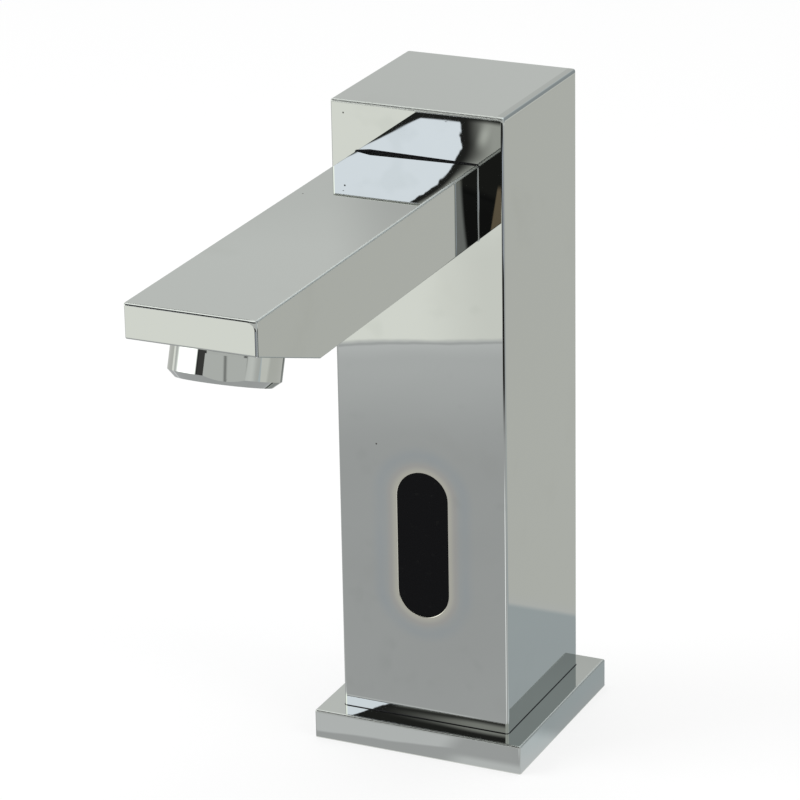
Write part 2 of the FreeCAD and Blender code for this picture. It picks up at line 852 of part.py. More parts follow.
def diaphragm_disc():
    disc = level_rod(disc_radius, 0, valve_z, disc_front_y, disc_back_y)
    disc = disc.fuse(level_rod(pilot_nozzle_radius, 0, valve_z, pilot_y, disc_front_y))
    return disc.cut(level_rod(pilot_hole_radius, 0, valve_z, pilot_y - overlap,
                              disc_back_y + overlap))


def valve_bonnet():
    bonnet = block(-valve_half, valve_half, bonnet_front_y, body_front_y,
                   valve_z - valve_half, valve_z + valve_half)
    bonnet = rounded(bonnet, valve_edge, runs_along(BACK))
    rim_seat = body_front_y - diaphragm_rim_thickness
    cuts = (
        (diaphragm_radius + slip, rim_seat, body_front_y + overlap),
        (bonnet_chamber_radius, bonnet_roof_y, body_front_y),
        (core_bore_radius, bonnet_front_y, bonnet_roof_y),
        (core_flange_radius + slip, bonnet_front_y - overlap,
         bonnet_front_y + core_flange_thickness),
    )
    for radius, front, back in cuts:
        bonnet = bonnet.cut(level_rod(radius, 0, valve_z, front, back))
    for x, z in four_corners(valve_screw_spread):
        hole = level_rod(small_screw_radius + slip, x, valve_z + z, bonnet_front_y - overlap,
                         body_front_y + overlap)
        bonnet = bonnet.cut(hole)
    return bonnet


def core_tube():
    flange_back = bonnet_front_y + core_flange_thickness
    tube = level_rod(core_tube_radius, 0, valve_z, core_tube_end_y, flange_back)
    tube = tube.fuse(level_rod(core_flange_radius, 0, valve_z, bonnet_front_y, flange_back))
    tube = tube.cut(level_rod(core_bore_radius, 0, valve_z, magnet_front_y,
                              flange_back + overlap))
    groove = pipe(core_tube_radius + overlap, core_tube_radius - clip_groove_depth,
                  Vector(0, clip_front_y - slip, valve_z), BACK, clip_thickness + 2 * slip)
    return tube.cut(groove)


def plunger():
    body = level_rod(core_bore_radius - plunger_play, 0, valve_z, plunger_front_y,
                     plunger_back_y)
    body = body.cut(level_rod(plunger_bore_radius, 0, valve_z, plunger_front_y - overlap,
                              plunger_front_y + plunger_bore_depth))
    return body.cut(level_rod(pad_radius, 0, valve_z, plunger_back_y - pad_thickness,
                              plunger_back_y + overlap))


def plunger_pad():
    return level_rod(pad_radius, 0, valve_z, plunger_back_y - pad_thickness, plunger_back_y)


def plunger_spring():
    front = fixed_core_back_y + rest_gap
    back = plunger_front_y + plunger_bore_depth - rest_gap
    coil = spring(plunger_spring_radius, plunger_spring_wire_radius, plunger_spring_turns,
                  back - front)
    coil.Placement = Placement(Vector(0, front, valve_z), Rotation(Vector(1, 0, 0), -90))
    return coil


def fixed_core():
    return level_rod(core_bore_radius, 0, valve_z, fixed_core_front_y, fixed_core_back_y)


def latch_magnet():
    return level_rod(core_bore_radius, 0, valve_z, magnet_front_y, fixed_core_front_y)


def solenoid_coil():
    coil = level_rod(coil_radius, 0, valve_z, coil_front_y, carrier_front_y)
    half = coil_nose_width / 2
    nose_low = valve_z - coil_radius - coil_nose_height
    nose = block(-half, half, coil_middle_y - half, coil_middle_y + half, nose_low, valve_z)
    coil = coil.fuse(nose)
    coil = coil.cut(upright_rod(coil_lead_radius + slip, 0, coil_middle_y, nose_low - overlap,
                                nose_low + coil_nose_height / 2))
    bore = level_rod(core_tube_radius + slip, 0, valve_z, coil_front_y - overlap,
                     carrier_front_y + overlap)
    return coil.cut(bore).removeSplitter()


def coil_yoke():
    """A bent steel strap: a front plate and two legs that carry the field round the coil."""
    half = yoke_width / 2
    inside = coil_radius + slip
    outside = inside + yoke_thickness
    z_span = (valve_z - half, valve_z + half)
    front = block(-outside, outside, yoke_front_y, coil_front_y, *z_span)
    yoke = front
    for low, high in ((-outside, -inside), (inside, outside)):
        yoke = yoke.fuse(block(low, high, yoke_front_y, carrier_front_y, *z_span))
    hole = level_rod(core_tube_radius + slip, 0, valve_z, yoke_front_y - overlap,
                     coil_front_y + overlap)
    return yoke.cut(hole).removeSplitter()


def coil_clip():
    """A flat retaining ring with a gap, sprung into the groove of the core tube."""
    inner = core_tube_radius - clip_groove_depth + slip
    clip = pipe(inner + clip_width, inner, Vector(0, clip_front_y, valve_z), BACK, clip_thickness)
    gap = block(-inner / 2, inner / 2, clip_front_y - overlap, yoke_front_y + overlap,
                valve_z, valve_z + inner + clip_width + overlap)
    return clip.cut(gap)


def coil_lead():
    low = case_top - case_wall
    high = valve_z - coil_radius - coil_nose_height / 2
    return upright_rod(coil_lead_radius, 0, coil_middle_y, low, high)


# ---- Spout ----
def spout_profile(inset):
    """The side outline of the spout, drawn in by inset all round but open at the column."""
    low = spout_bottom + inset
    high = spout_top - inset
    front = tip_y + inset
    line = tip_corner + into_spout * inset
    heel_step = (line.z - low) / math.sin(slant)
    heel = line + along_slant * heel_step
    tip_step = (front - line.y) / math.cos(slant)
    tip = line + along_slant * tip_step
    corners = [(-column_half, low), (heel.y, low), (front, tip.z), (front, high),
               (-column_half, high)]
    points = [Vector(0, y, z) for y, z in corners]
    return Part.Face(Part.makePolygon(points + points[:1]))


def spout_solid(inset):
    half = spout_width / 2 - inset
    outline = spout_profile(inset)
    outline.translate(Vector(-half, 0, 0))
    return outline.extrude(Vector(2 * half, 0, 0))


def spout_shell():
    shell = spout_solid(0)
    shell = rounded(shell, tip_edge, is_tip_edge)
    shell = rounded(shell, spout_edge, is_long_spout_edge)
    shell = shell.cut(spout_solid(spout_wall))
    hole = upright_rod(socket_ring_radius, 0, 0, -overlap, spout_wall + overlap)
    return shell.cut(at_aerator(hole))


def is_tip_edge(edge):
    return all(abs(corner.Y - tip_y) < TINY for corner in edge.Vertexes)


def is_long_spout_edge(edge):
    """Edges of the spout that run on behind the rounded tip."""
    depths = [corner.Y for corner in edge.Vertexes]
    return min(depths) < -column_half - TINY and max(depths) > tip_y + 2 * tip_edge


def at_aerator(shape):
    shape.Placement = aerator_place.multiply(shape.Placement)
    return shape


def aerator_socket():
    """The threaded ring brazed into the slanted wall, with the nozzle that feeds it."""
    top = socket_depth + socket_roof
    ring = upright_rod(socket_ring_radius, 0, 0, 0, top)
    ring = ring.fuse(upright_rod(socket_flange_radius, 0, 0, spout_wall, top))
    chamber = upright_rod(neck_radius + slip, 0, 0, -overlap, socket_depth)
    ring = at_aerator(ring)
    nozzle_back = aerator_centre.y + socket_flange_radius + nozzle_overlap
    nozzle_front = aerator_centre.y - nozzle_radius
    nozzle = level_rod(nozzle_radius, 0, outlet_z, nozzle_front, nozzle_back)
    socket = ring.fuse(nozzle).cut(at_aerator(chamber))
    tube_bore = outlet_tube_radius - outlet_tube_wall
    socket = socket.cut(level_rod(tube_bore, 0, outlet_z, nozzle_front + nozzle_wall,
                                  nozzle_back + overlap))
    tube_socket = level_rod(outlet_tube_radius + slip, 0, outlet_z,
                            nozzle_back - nozzle_overlap, nozzle_back + overlap)
    return socket.cut(tube_socket).removeSplitter()


def outlet_tube():
    """Straight up out of the valve, round one bend and straight along the spout."""
    bend_end = Vector(0, duct_y - outlet_bend_radius, outlet_z)
    bend_start = Vector(0, duct_y, bend_start_z)
    bend_centre = Vector(0, bend_end.y, bend_start_z)
    half_turn = math.radians(45)
    middle_step = Vector(0, math.cos(half_turn), math.sin(half_turn)) * outlet_bend_radius
    start = Vector(0, duct_y, outlet_tube_bottom)
    end_y = aerator_centre.y + socket_flange_radius
    end = Vector(0, end_y, outlet_z)
    route = Part.Wire([
        Part.makeLine(start, bend_start),
        Part.Arc(bend_start, bend_centre + middle_step, bend_end).toShape(),
        Part.makeLine(bend_end, end),
    ])
    tube = swept(route, outlet_tube_radius, start)
    return tube.cut(swept(route, outlet_tube_radius - outlet_tube_wall, start))


def swept(route, radius, start):
    sweep = Part.BRepOffsetAPI.MakePipeShell(route)
    sweep.add(Part.Wire(Part.makeCircle(radius, start, UP)))
    sweep.build()
    sweep.makeSolid()
    return sweep.shape()


# ---- Aerator, drawn upright on its own axis and then tilted into place ----
def aerator_collar():
    straight = collar_height - collar_chamfer_height
    narrow = collar_radius - collar_chamfer_width
    collar = upright_rod(collar_radius, 0, 0, -straight, 0)
    chamfer = Part.makeCone(narrow, collar_radius, collar_chamfer_height,
                            Vector(0, 0, -collar_height), UP)
    collar = collar.fuse(chamfer)
    for turn in (flats_turn, flats_turn + 180):
        flat = block(-collar_radius, collar_radius, -2 * collar_radius, -flats_across / 2,
                     -collar_height - overlap, -collar_band)
        flat.rotate(Vector(0, 0, 0), UP, turn)
        collar = collar.cut(flat)
    collar = collar.fuse(upright_rod(neck_radius, 0, 0, 0, neck_length))
    lip_top = collar_lip_thickness - collar_height
    collar = collar.cut(upright_rod(insert_radius + slip, 0, 0, lip_top, neck_length + overlap))
    collar = collar.cut(upright_rod(collar_lip_radius, 0, 0, -collar_height - overlap, lip_top))
    return at_aerator(collar.removeSplitter())


def aerator_insert():
    """The flow straightener: a cup with a honeycomb floor and a flange that hangs on the neck."""
    cup = upright_rod(insert_radius, 0, 0, insert_low, insert_top)
    cup = cup.fuse(upright_rod(insert_flange_radius, 0, 0, insert_flange_low, insert_top))
    cup = cup.cut(upright_rod(insert_bore_radius - diffuser_ledge, 0, 0, honeycomb_top,
                              insert_top + overlap))
    cup = cup.cut(upright_rod(insert_bore_radius, 0, 0, diffuser_low, insert_top + overlap))
    cup = cup.cut(honeycomb(honeycomb_cell, honeycomb_web, collar_lip_radius, insert_low,
                            honeycomb_top))
    return at_aerator(cup.removeSplitter())


def aerator_diffuser():
    disc = perforated_disc(insert_bore_radius - slip, diffuser_low,
                           diffuser_low + diffuser_thickness, diffuser_cell,
                           diffuser_web, diffuser_ledge)
    return at_aerator(disc)


def aerator_screen():
    low = diffuser_low + diffuser_thickness
    disc = perforated_disc(insert_bore_radius - slip, low, low + screen_thickness,
                           screen_cell, screen_web, diffuser_ledge)
    return at_aerator(disc)


def aerator_seal():
    outer = insert_flange_radius
    washer = pipe(outer, outer - aerator_seal_width, Vector(0, 0, seal_low), UP,
                  aerator_seal_thickness)
    return at_aerator(washer)


# ---- The whole tap ----
pieces = {
    "column_body": column_body(),
    "base_plate": base_plate(),
    "deck_gasket": gasket_ring(0, deck_gasket_thickness),
    "foot_screws": foot_screws(),
    "bridge_plate": bridge_plate(),
    "cable_grommet": cable_grommet(),
    "inlet_fitting": inlet_fitting(),
    "inlet_filter": inlet_filter(),
    "check_poppet": check_poppet(),
    "check_spring": check_spring(),
    "check_guide": check_guide(),
    "riser_tube": riser_tube(),
    "tube_seals": tube_seals(),
    "carrier_plate": carrier_plate(),
    "carrier_screws": carrier_screws(),
    "sensor_lens": sensor_lens(),
    "window_gasket": window_gasket(),
    "sensor_case": sensor_case(),
    "sensor_screws": sensor_screws(),
    "sensor_board": sensor_board(),
    "board_parts": board_parts(),
    "infrared_emitter": optic(window_z + optic_spread),
    "infrared_receiver": optic(window_z - optic_spread),
    "valve_body": valve_body(),
    "diaphragm": diaphragm(),
    "diaphragm_disc": diaphragm_disc(),
    "valve_bonnet": valve_bonnet(),
    "bonnet_screws": bonnet_screws(),
    "core_tube": core_tube(),
    "plunger": plunger(),
    "plunger_pad": plunger_pad(),
    "plunger_spring": plunger_spring(),
    "fixed_core": fixed_core(),
    "latch_magnet": latch_magnet(),
    "solenoid_coil": solenoid_coil(),
    "coil_yoke": coil_yoke(),
    "coil_clip": coil_clip(),
    "coil_lead": coil_lead(),
    "spout_shell": spout_shell(),
    "aerator_socket": aerator_socket(),
    "outlet_tube": outlet_tube(),
    "aerator_collar": aerator_collar(),
    "aerator_insert": aerator_insert(),
    "aerator_diffuser": aerator_diffuser(),
    "aerator_screen": aerator_screen(),
    "aerator_seal": aerator_seal(),
}

os.makedirs("parts", exist_ok=True)
for name, shape in pieces.items():
    shape.exportStep(f"parts/{name}.step")
    box = shape.BoundBox
    print(f"{name}: {len(shape.Solids)} solid(s), {shape.Volume:.1f} mm3, "
          f"x {box.XMin:.2f}..{box.XMax:.2f}, y {box.YMin:.2f}..{box.YMax:.2f}, "
          f"z {box.ZMin:.2f}..{box.ZMax:.2f}, valid {shape.isValid()}")
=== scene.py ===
# %% [markdown]
# # A hands-free basin tap, dressed for a studio picture
# The tap is a square chrome column on a square plate, with a straight square spout and a black
# sensor window. Its real shapes come from a packed model that is loaded as a fixed frame: they
# could be modelled again here, but then the picture and the model might disagree. This lesson
# gives every piece a finish made of shader nodes, adds the fine things that a construction model
# leaves out, and builds the small studio that the polished metal mirrors. Everything is in
# metres, with the origin under the middle of the base plate, the spout towards -Y and +Z up.

import math

import bmesh
import bpy
from mathutils import Matrix, Vector


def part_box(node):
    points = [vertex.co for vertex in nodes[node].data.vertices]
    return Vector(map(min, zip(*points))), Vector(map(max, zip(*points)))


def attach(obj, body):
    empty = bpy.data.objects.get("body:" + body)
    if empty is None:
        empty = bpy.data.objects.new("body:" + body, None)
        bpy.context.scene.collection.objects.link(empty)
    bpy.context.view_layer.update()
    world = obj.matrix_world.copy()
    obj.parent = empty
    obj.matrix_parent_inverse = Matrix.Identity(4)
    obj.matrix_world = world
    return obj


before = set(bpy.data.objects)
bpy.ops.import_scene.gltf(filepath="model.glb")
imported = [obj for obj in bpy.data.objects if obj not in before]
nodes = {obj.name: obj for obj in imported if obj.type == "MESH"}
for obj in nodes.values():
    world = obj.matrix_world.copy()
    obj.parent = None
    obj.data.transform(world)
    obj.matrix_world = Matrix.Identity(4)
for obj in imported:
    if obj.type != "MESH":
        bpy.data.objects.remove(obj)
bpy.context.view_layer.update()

# %% [markdown]
# ## The camera
# A product picture is mostly its camera. This one stands in front of the tap, a little to the
# right and above. A short lens close by would fill the picture as well, but a long lens from
# further off keeps the upright edges nearly parallel, as they are in the photograph. The angles
# were worked out from the straight edges of the column, the plate and the spout, and the camera
# is then shifted so that one point on the tap's axis lands on its pixel.

# %% Camera
MM = 0.001
DEGREE = math.radians(1)
PICTURE_SIDE = 800
SENSOR_WIDTH = 36.0
FOCAL_PIXELS = 3908.0
CAMERA_AZIMUTH = 24.96 * DEGREE
CAMERA_ELEVATION = 20.98 * DEGREE
CAMERA_ROLL = -1.05 * DEGREE
CAMERA_DISTANCE = 1037.15 * MM
AIM_HEIGHT = 85 * MM
AIM_PIXEL = Vector((458.5, 420.6))


def make_camera():
    backward = Vector((
        math.sin(CAMERA_AZIMUTH) * math.cos(CAMERA_ELEVATION),
        -math.cos(CAMERA_AZIMUTH) * math.cos(CAMERA_ELEVATION),
        math.sin(CAMERA_ELEVATION),
    ))
    level = Vector((math.cos(CAMERA_AZIMUTH), math.sin(CAMERA_AZIMUTH), 0))
    upright = backward.cross(level)
    right = math.cos(CAMERA_ROLL) * level + math.sin(CAMERA_ROLL) * upright
    up = math.cos(CAMERA_ROLL) * upright - math.sin(CAMERA_ROLL) * level
    metres_per_pixel = CAMERA_DISTANCE / FOCAL_PIXELS
    middle = PICTURE_SIDE / 2
    place = Vector((0, 0, AIM_HEIGHT)) + backward * CAMERA_DISTANCE
    place -= right * (AIM_PIXEL.x - middle) * metres_per_pixel
    place -= up * (middle - AIM_PIXEL.y) * metres_per_pixel
    data = bpy.data.cameras.new("studio_camera")
    data.sensor_width = SENSOR_WIDTH
    data.lens = FOCAL_PIXELS * SENSOR_WIDTH / PICTURE_SIDE
    camera = bpy.data.objects.new("studio_camera", data)
    facing = Matrix((right, up, backward)).transposed().to_4x4()
    camera.matrix_world = Matrix.Translation(place) @ facing
    bpy.context.scene.collection.objects.link(camera)
    bpy.context.scene.camera = camera
    return camera


camera = make_camera()
print("camera at", [round(value, 4) for value in camera.matrix_world.translation])

# %% [markdown]
# ## Shader maths as Python
# A finish is a small sum: a mask times a colour, one roughness plus a little noise. Wiring each
# plus and times by hand hides that sum, so one class wraps a socket and lets Python's own signs
# add the Math nodes.

# %% Signals


class Signal:
    """A socket that gives one number for each point of a surface."""

    def __init__(self, finish, socket):
        self.finish = finish
        self.socket = socket

    def maths(self, operation, *terms):
        inputs = dict(enumerate(terms))
        return self.finish.node("ShaderNodeMath", {"operation": operation}, inputs, "Value")

    def __add__(self, other):
        return self.maths("ADD", self, other)

    def __radd__(self, other):
        return self.maths("ADD", other, self)

    def __sub__(self, other):
        return self.maths("SUBTRACT", self, other)

    def __rsub__(self, other):
        return self.maths("SUBTRACT", other, self)

    def __neg__(self):
        return self.maths("SUBTRACT", 0.0, self)

    def __mul__(self, other):
        return self.maths("MULTIPLY", self, other)

    def __rmul__(self, other):
        return self.maths("MULTIPLY", other, self)

    def __truediv__(self, other):
        return self.maths("DIVIDE", self, other)

    def __pow__(self, other):
        return self.maths("POWER", self, other)

    def __abs__(self):
        return self.maths("ABSOLUTE", self)

    def angle_from(self, across):
        """The angle in radians whose tangent is this number over the other."""
        return self.maths("ARCTAN2", self, across)

    def above(self, floor):
        return self.maths("MAXIMUM", self, floor)

    def below(self, ceiling):
        return self.maths("MINIMUM", self, ceiling)

    def from_to(self, low, high):
        """0 where the number is at low, 1 where it is at high, and smooth between."""
        settings = {"interpolation_type": "SMOOTHSTEP"}
        inputs = {"Value": self, "From Min": low, "From Max": high}
        return self.finish.node("ShaderNodeMapRange", settings, inputs, "Result")


print("signals know", ", ".join(name for name in vars(Signal) if not name.startswith("_")))

# %% [markdown]
# Every other node is made by one method from its type, its settings and what goes into its
# sockets. The class round it stands for one material. Colours and directions aren't numbers, so
# they are mixed and multiplied by nodes of their own kind.

# %% Finishes


class Finish:
    """One material, or the world, as a tree of nodes."""

    def __init__(self, owner):
        owner.use_nodes = True
        self.owner = owner
        self.tree = owner.node_tree
        self.tree.nodes.clear()

    def node(self, kind, settings=None, inputs=None, output=None):
        made = self.tree.nodes.new(kind)
        for name, value in (settings or {}).items():
            setattr(made, name, value)
        for name, value in (inputs or {}).items():
            self.feed(made.inputs[name], value)
        return Signal(self, made.outputs[output]) if output is not None else made

    def feed(self, socket, value):
        if isinstance(value, Signal):
            self.tree.links.new(value.socket, socket)
        elif socket.type == "RGBA" and len(value) == 3:
            socket.default_value = (*value, 1.0)
        else:
            socket.default_value = value

    def place(self):
        """Where a point is, in metres in the tap's own frame."""
        return self.node("ShaderNodeTexCoord", output="Object")

    def axes(self, vector):
        split = self.node("ShaderNodeSeparateXYZ", inputs={"Vector": vector})
        return [Signal(self, split.outputs[name]) for name in "XYZ"]

    def vectors(self, operation, first, second, output="Vector"):
        inputs = {0: first, 1: second}
        return self.node("ShaderNodeVectorMath", {"operation": operation}, inputs, output)

    def noise(self, vector, scale, detail=2.0, roughness=0.5):
        inputs = {"Vector": vector, "Scale": scale, "Detail": detail, "Roughness": roughness}
        return self.node("ShaderNodeTexNoise", inputs=inputs, output="Fac")

    def mixed(self, factor, first, second):
        """The first colour where the factor is 0, the second where it is 1."""
        made = self.node("ShaderNodeMix", {"data_type": "RGBA"})
        fed = (("Factor", "VALUE", factor), ("A", "RGBA", first), ("B", "RGBA", second))
        for name, kind, value in fed:
            socket = next(s for s in made.inputs if s.name == name and s.type == kind)
            self.feed(socket, value)
        return Signal(self, next(s for s in made.outputs if s.type == "RGBA"))

    def bump(self, height, distance):
        inputs = {"Height": height, "Distance": distance, "Strength": 1.0}
        return self.node("ShaderNodeBump", inputs=inputs, output="Normal")

    def surface(self, **inputs):
        """Ends the tree with one Principled shader, fed by names such as Base_Color."""
        named = {name.replace("_", " "): value for name, value in inputs.items()}
        shader = self.node("ShaderNodeBsdfPrincipled", inputs=named, output="BSDF")
        self.node("ShaderNodeOutputMaterial", inputs={"Surface": shader})
        return self.owner


def new_finish(name):
    return Finish(bpy.data.materials.new(name))


print("finishes know", ", ".join(name for name in vars(Finish) if not name.startswith("_")))

# %% [markdown]
# A painted surface is mostly masks: a band here, a fade there, one value in place of another.
# These few helpers say so in words. Each works on signals and adds the nodes for them.

# %% Masks


def between(signal, low, high, soft):
    """1 from low to high, 0 outside, with soft edges."""
    return signal.from_to(low - soft, low + soft) * signal.from_to(high + soft, high - soft)


def blend(share, first, second):
    """The first value where the share is 0, the second where it is 1."""
    return first + (second - first) * share


def reach_of(across, along):
    """The straight distance covered by two steps at right angles."""
    return (across * across + along * along) ** 0.5


def grey(finish, value):
    """A number for each point as a colour."""
    shares = {"Red": value, "Green": value, "Blue": value}
    return finish.node("ShaderNodeCombineColor", inputs=shares, output="Color")


print("halfway between 2 and 6:", blend(0.5, 2, 6))

# %% [markdown]
# ## The studio around the tap
# Polished chrome has hardly any colour of its own: what it shows is the room. The photograph was
# taken in a light tent, with a white table that ends a third of a metre in front of the tap, a
# pale blue soft box up on the left, and a dark gap where the camera looks in. Real lamps and
# cloth could be built for it, but each would also change the light on everything else. So they
# are large painted cards and a dome that only mirrors can see: they shape the reflections and
# add no light, while the floor and the background stay plain and pale.

# %% Sheets
WHITE = (1.0, 1.0, 1.0)
BLACK = (0.0, 0.0, 0.0)


def flat_sheet(name, corners, material):
    mesh = bpy.data.meshes.new(name)
    mesh.from_pydata(corners, [], [tuple(range(len(corners)))])
    mesh.materials.append(material)
    sheet = bpy.data.objects.new(name, mesh)
    bpy.context.scene.collection.objects.link(sheet)
    print(name, "is part of the stage")
    return sheet


def level_square(side, z):
    half = side / 2
    return [(-half, -half, z), (half, -half, z), (half, half, z), (-half, half, z)]


def mirrors_only(thing):
    """Only reflections see this object: it gives no light or shadow, and the camera misses it."""
    thing.visible_camera = False
    thing.visible_diffuse = False
    thing.visible_shadow = False
    thing.visible_transmission = False
    thing.visible_volume_scatter = False
    for material in thing.data.materials:
        material.cycles.emission_sampling = "NONE"
    return thing


print("corners of a level square of 2 m:", level_square(2.0, 0.0))

# %% [markdown]
# The floor has to look white and still catch the tap's shadow. White paint under stronger lamps
# would do it, but the lamps would bleach the tap too. So the floor is a mix: most of it glows
# white, for the camera and for rays that reach it by way of metal or glass, and the rest is lit
# by the lamps and keeps the shadow. Far off it turns all white, so that no horizon shows.

# %% Floor and room
FLOOR_SIDE = 8.0
FLOOR_DROP = 0.1 * MM
FLOOR_COLOUR = (0.9, 0.9, 0.9)
FLOOR_GLOW = 0.72
FLOOR_FADE = (0.6, 2.0)
ROOM_FILL = (0.55, 0.55, 0.55)


def seen_or_mirrored(finish):
    """1 for the camera's rays, also by way of metal or glass, and 0 for light that spreads."""
    light_path = finish.node("ShaderNodeLightPath")
    seen = Signal(finish, light_path.outputs["Is Camera Ray"])
    seen = seen.above(Signal(finish, light_path.outputs["Is Glossy Ray"]))
    return seen.above(Signal(finish, light_path.outputs["Is Transmission Ray"]))


def floor_finish():
    finish = new_finish("pale_floor")
    x, y, _ = finish.axes(finish.place())
    far = reach_of(x, y).from_to(*FLOOR_FADE)
    share = seen_or_mirrored(finish) * (FLOOR_GLOW + (1 - FLOOR_GLOW) * far)
    inputs = {"Color": WHITE, "Strength": 1.0}
    glow = finish.node("ShaderNodeEmission", inputs=inputs, output="Emission")
    lit = finish.node("ShaderNodeBsdfDiffuse", inputs={"Color": FLOOR_COLOUR}, output="BSDF")
    both = finish.node("ShaderNodeMixShader", inputs={0: share, 1: lit, 2: glow}, output="Shader")
    finish.node("ShaderNodeOutputMaterial", inputs={"Surface": both})
    return finish.owner


def make_room():
    finish = Finish(bpy.data.worlds.new("pale_room"))
    bpy.context.scene.world = finish.owner
    colour = finish.mixed(seen_or_mirrored(finish), ROOM_FILL, WHITE)
    inputs = {"Color": colour, "Strength": 1.0}
    background = finish.node("ShaderNodeBackground", inputs=inputs, output="Background")
    finish.node("ShaderNodeOutputWorld", inputs={"Surface": background})


flat_sheet("floor", level_square(FLOOR_SIDE, -FLOOR_DROP), floor_finish())
make_room()
print("floor side", FLOOR_SIDE, "m, room fill", ROOM_FILL)

# %% [markdown]
# The lamps are large and soft, one from each side and one overhead, at a level where a grey
# renders about as it is written. They are hidden from mirrors: the painted cards stand in for
# them there, so that each reflection can be placed by itself.

# %% Lamps
TAP_MIDDLE = Vector((0, -0.03, 0.09))


def lamp(name, place, side, watts, colour):
    data = bpy.data.lights.new(name, "AREA")
    data.shape = "SQUARE"
    data.size = side
    data.energy = watts
    data.color = colour
    thing = bpy.data.objects.new(name, data)
    thing.location = place
    thing.rotation_euler = (TAP_MIDDLE - Vector(place)).to_track_quat("-Z", "Y").to_euler()
    thing.visible_glossy = False
    bpy.context.scene.collection.objects.link(thing)
    print(name, watts, "W")


lamp("lamp_left", place=(-1.3, -0.7, 1.1), side=1.1, watts=14, colour=(0.97, 0.99, 1.0))
lamp("lamp_right", place=(1.4, -0.2, 1.0), side=1.1, watts=8, colour=(1.0, 0.99, 0.96))
lamp("lamp_top", place=(0.0, 0.3, 1.6), side=1.3, watts=10, colour=WHITE)

# %% [markdown]
# The dome is the tent itself. A picture of a studio could be wrapped round the scene instead,
# but a dome painted by formulas can be moved to fit one reflection at a time. It is painted by
# direction as seen from the tap: turn is the angle to the right of straight ahead, height is the
# sine of the angle above the floor. Behind the tap the cloth is a cool light grey with one fold,
# and falls to slate on the right. Ahead it is crossed by a thin cable and a dark gap. A fade is
# written as a pair, where it starts and where it ends, and a band has its softness as a third.

# %% Cloth of the tent
TENT_RADIUS = 1.6
BEHIND_GREY = 0.675
UPPER_RISE, UPPER_FADE = 0.05, (0.405, 0.43)
FOLD_SHADE, FOLD_TURN, FOLD_HEIGHT = 0.125, (-152.5 * DEGREE, -154.5 * DEGREE), (0.395, 0.412)
SLATE_SHADE, SLATE_FADE = 0.30, (0.0, 0.35 * TENT_RADIUS)
AHEAD_GREY = 0.63
AHEAD_RISE, AHEAD_FADE = 0.15, (50 * DEGREE, 75 * DEGREE)
CABLE_SHADE, CABLE_BAND = 0.6, (22.87 * DEGREE, 22.93 * DEGREE, 0.03 * DEGREE)
GAP_SHADE, GAP_BAND = 0.7, (56 * DEGREE, 64 * DEGREE, 2 * DEGREE)


def cloth_behind(x, height, turn):
    fold = turn.from_to(*FOLD_TURN) * height.from_to(*FOLD_HEIGHT)
    level = BEHIND_GREY + UPPER_RISE * height.from_to(*UPPER_FADE) - FOLD_SHADE * fold
    return level - SLATE_SHADE * x.from_to(*SLATE_FADE)


def cloth_ahead(turn):
    level = AHEAD_GREY + AHEAD_RISE * turn.from_to(*AHEAD_FADE)
    level = level * (1 - CABLE_SHADE * between(turn, *CABLE_BAND))
    return level * (1 - GAP_SHADE * between(turn, *GAP_BAND))


darkest = round(BEHIND_GREY - SLATE_SHADE, 3)
print("the cloth falls from", BEHIND_GREY, "to", darkest, "on the right")

# %% [markdown]
# The left side of the tent is brightly lit, and so is the roof. To the left of the camera a slot
# of the dark room shows, and above the camera the dark goes on up to the roof. A card of its own
# could be cut for each, but as masks on the one dome they can't leave a crack between them.

# %% Tent, for mirrors only
DARK = 0.03
IN_FRONT = (0.1 * TENT_RADIUS, -0.3 * TENT_RADIUS)
RIGHT_RISE, RIGHT_BAND = 0.22, (88 * DEGREE, 115 * DEGREE, 8 * DEGREE)
LEFT_GLOW, LEFT_BAND, LEFT_TOP = 2.1, (-80 * DEGREE, -33 * DEGREE, 6 * DEGREE), (0.75, 0.55)
ROOF_GLOW, ROOF_HEIGHT, ROOF_TILT, ROOF_EDGE = 1.3, (0.57, 0.67), 0.8, (0.72, 0.86)
SLOT_BAND, SLOT_FOOT = (-33 * DEGREE, -15 * DEGREE, 1.5 * DEGREE), (0.24, 0.28)
OVERHEAD_HEIGHT, OVERHEAD_FRONT = (0.45, 0.6), (0.0, 0.2)
CLOTH_PLAIN, CLOTH_CLOUD = 0.94, 0.12
BLUISH_FADE = (0.0, 0.2 * TENT_RADIUS)
COOL_TINT, BLUISH_TINT = (0.98, 1.0, 1.0), (0.91, 0.99, 1.06)


def glowing(finish, colour):
    return finish.surface(Base_Color=BLACK, Roughness=1.0, Specular_IOR_Level=0.0,
                          Emission_Color=colour, Emission_Strength=1.0)


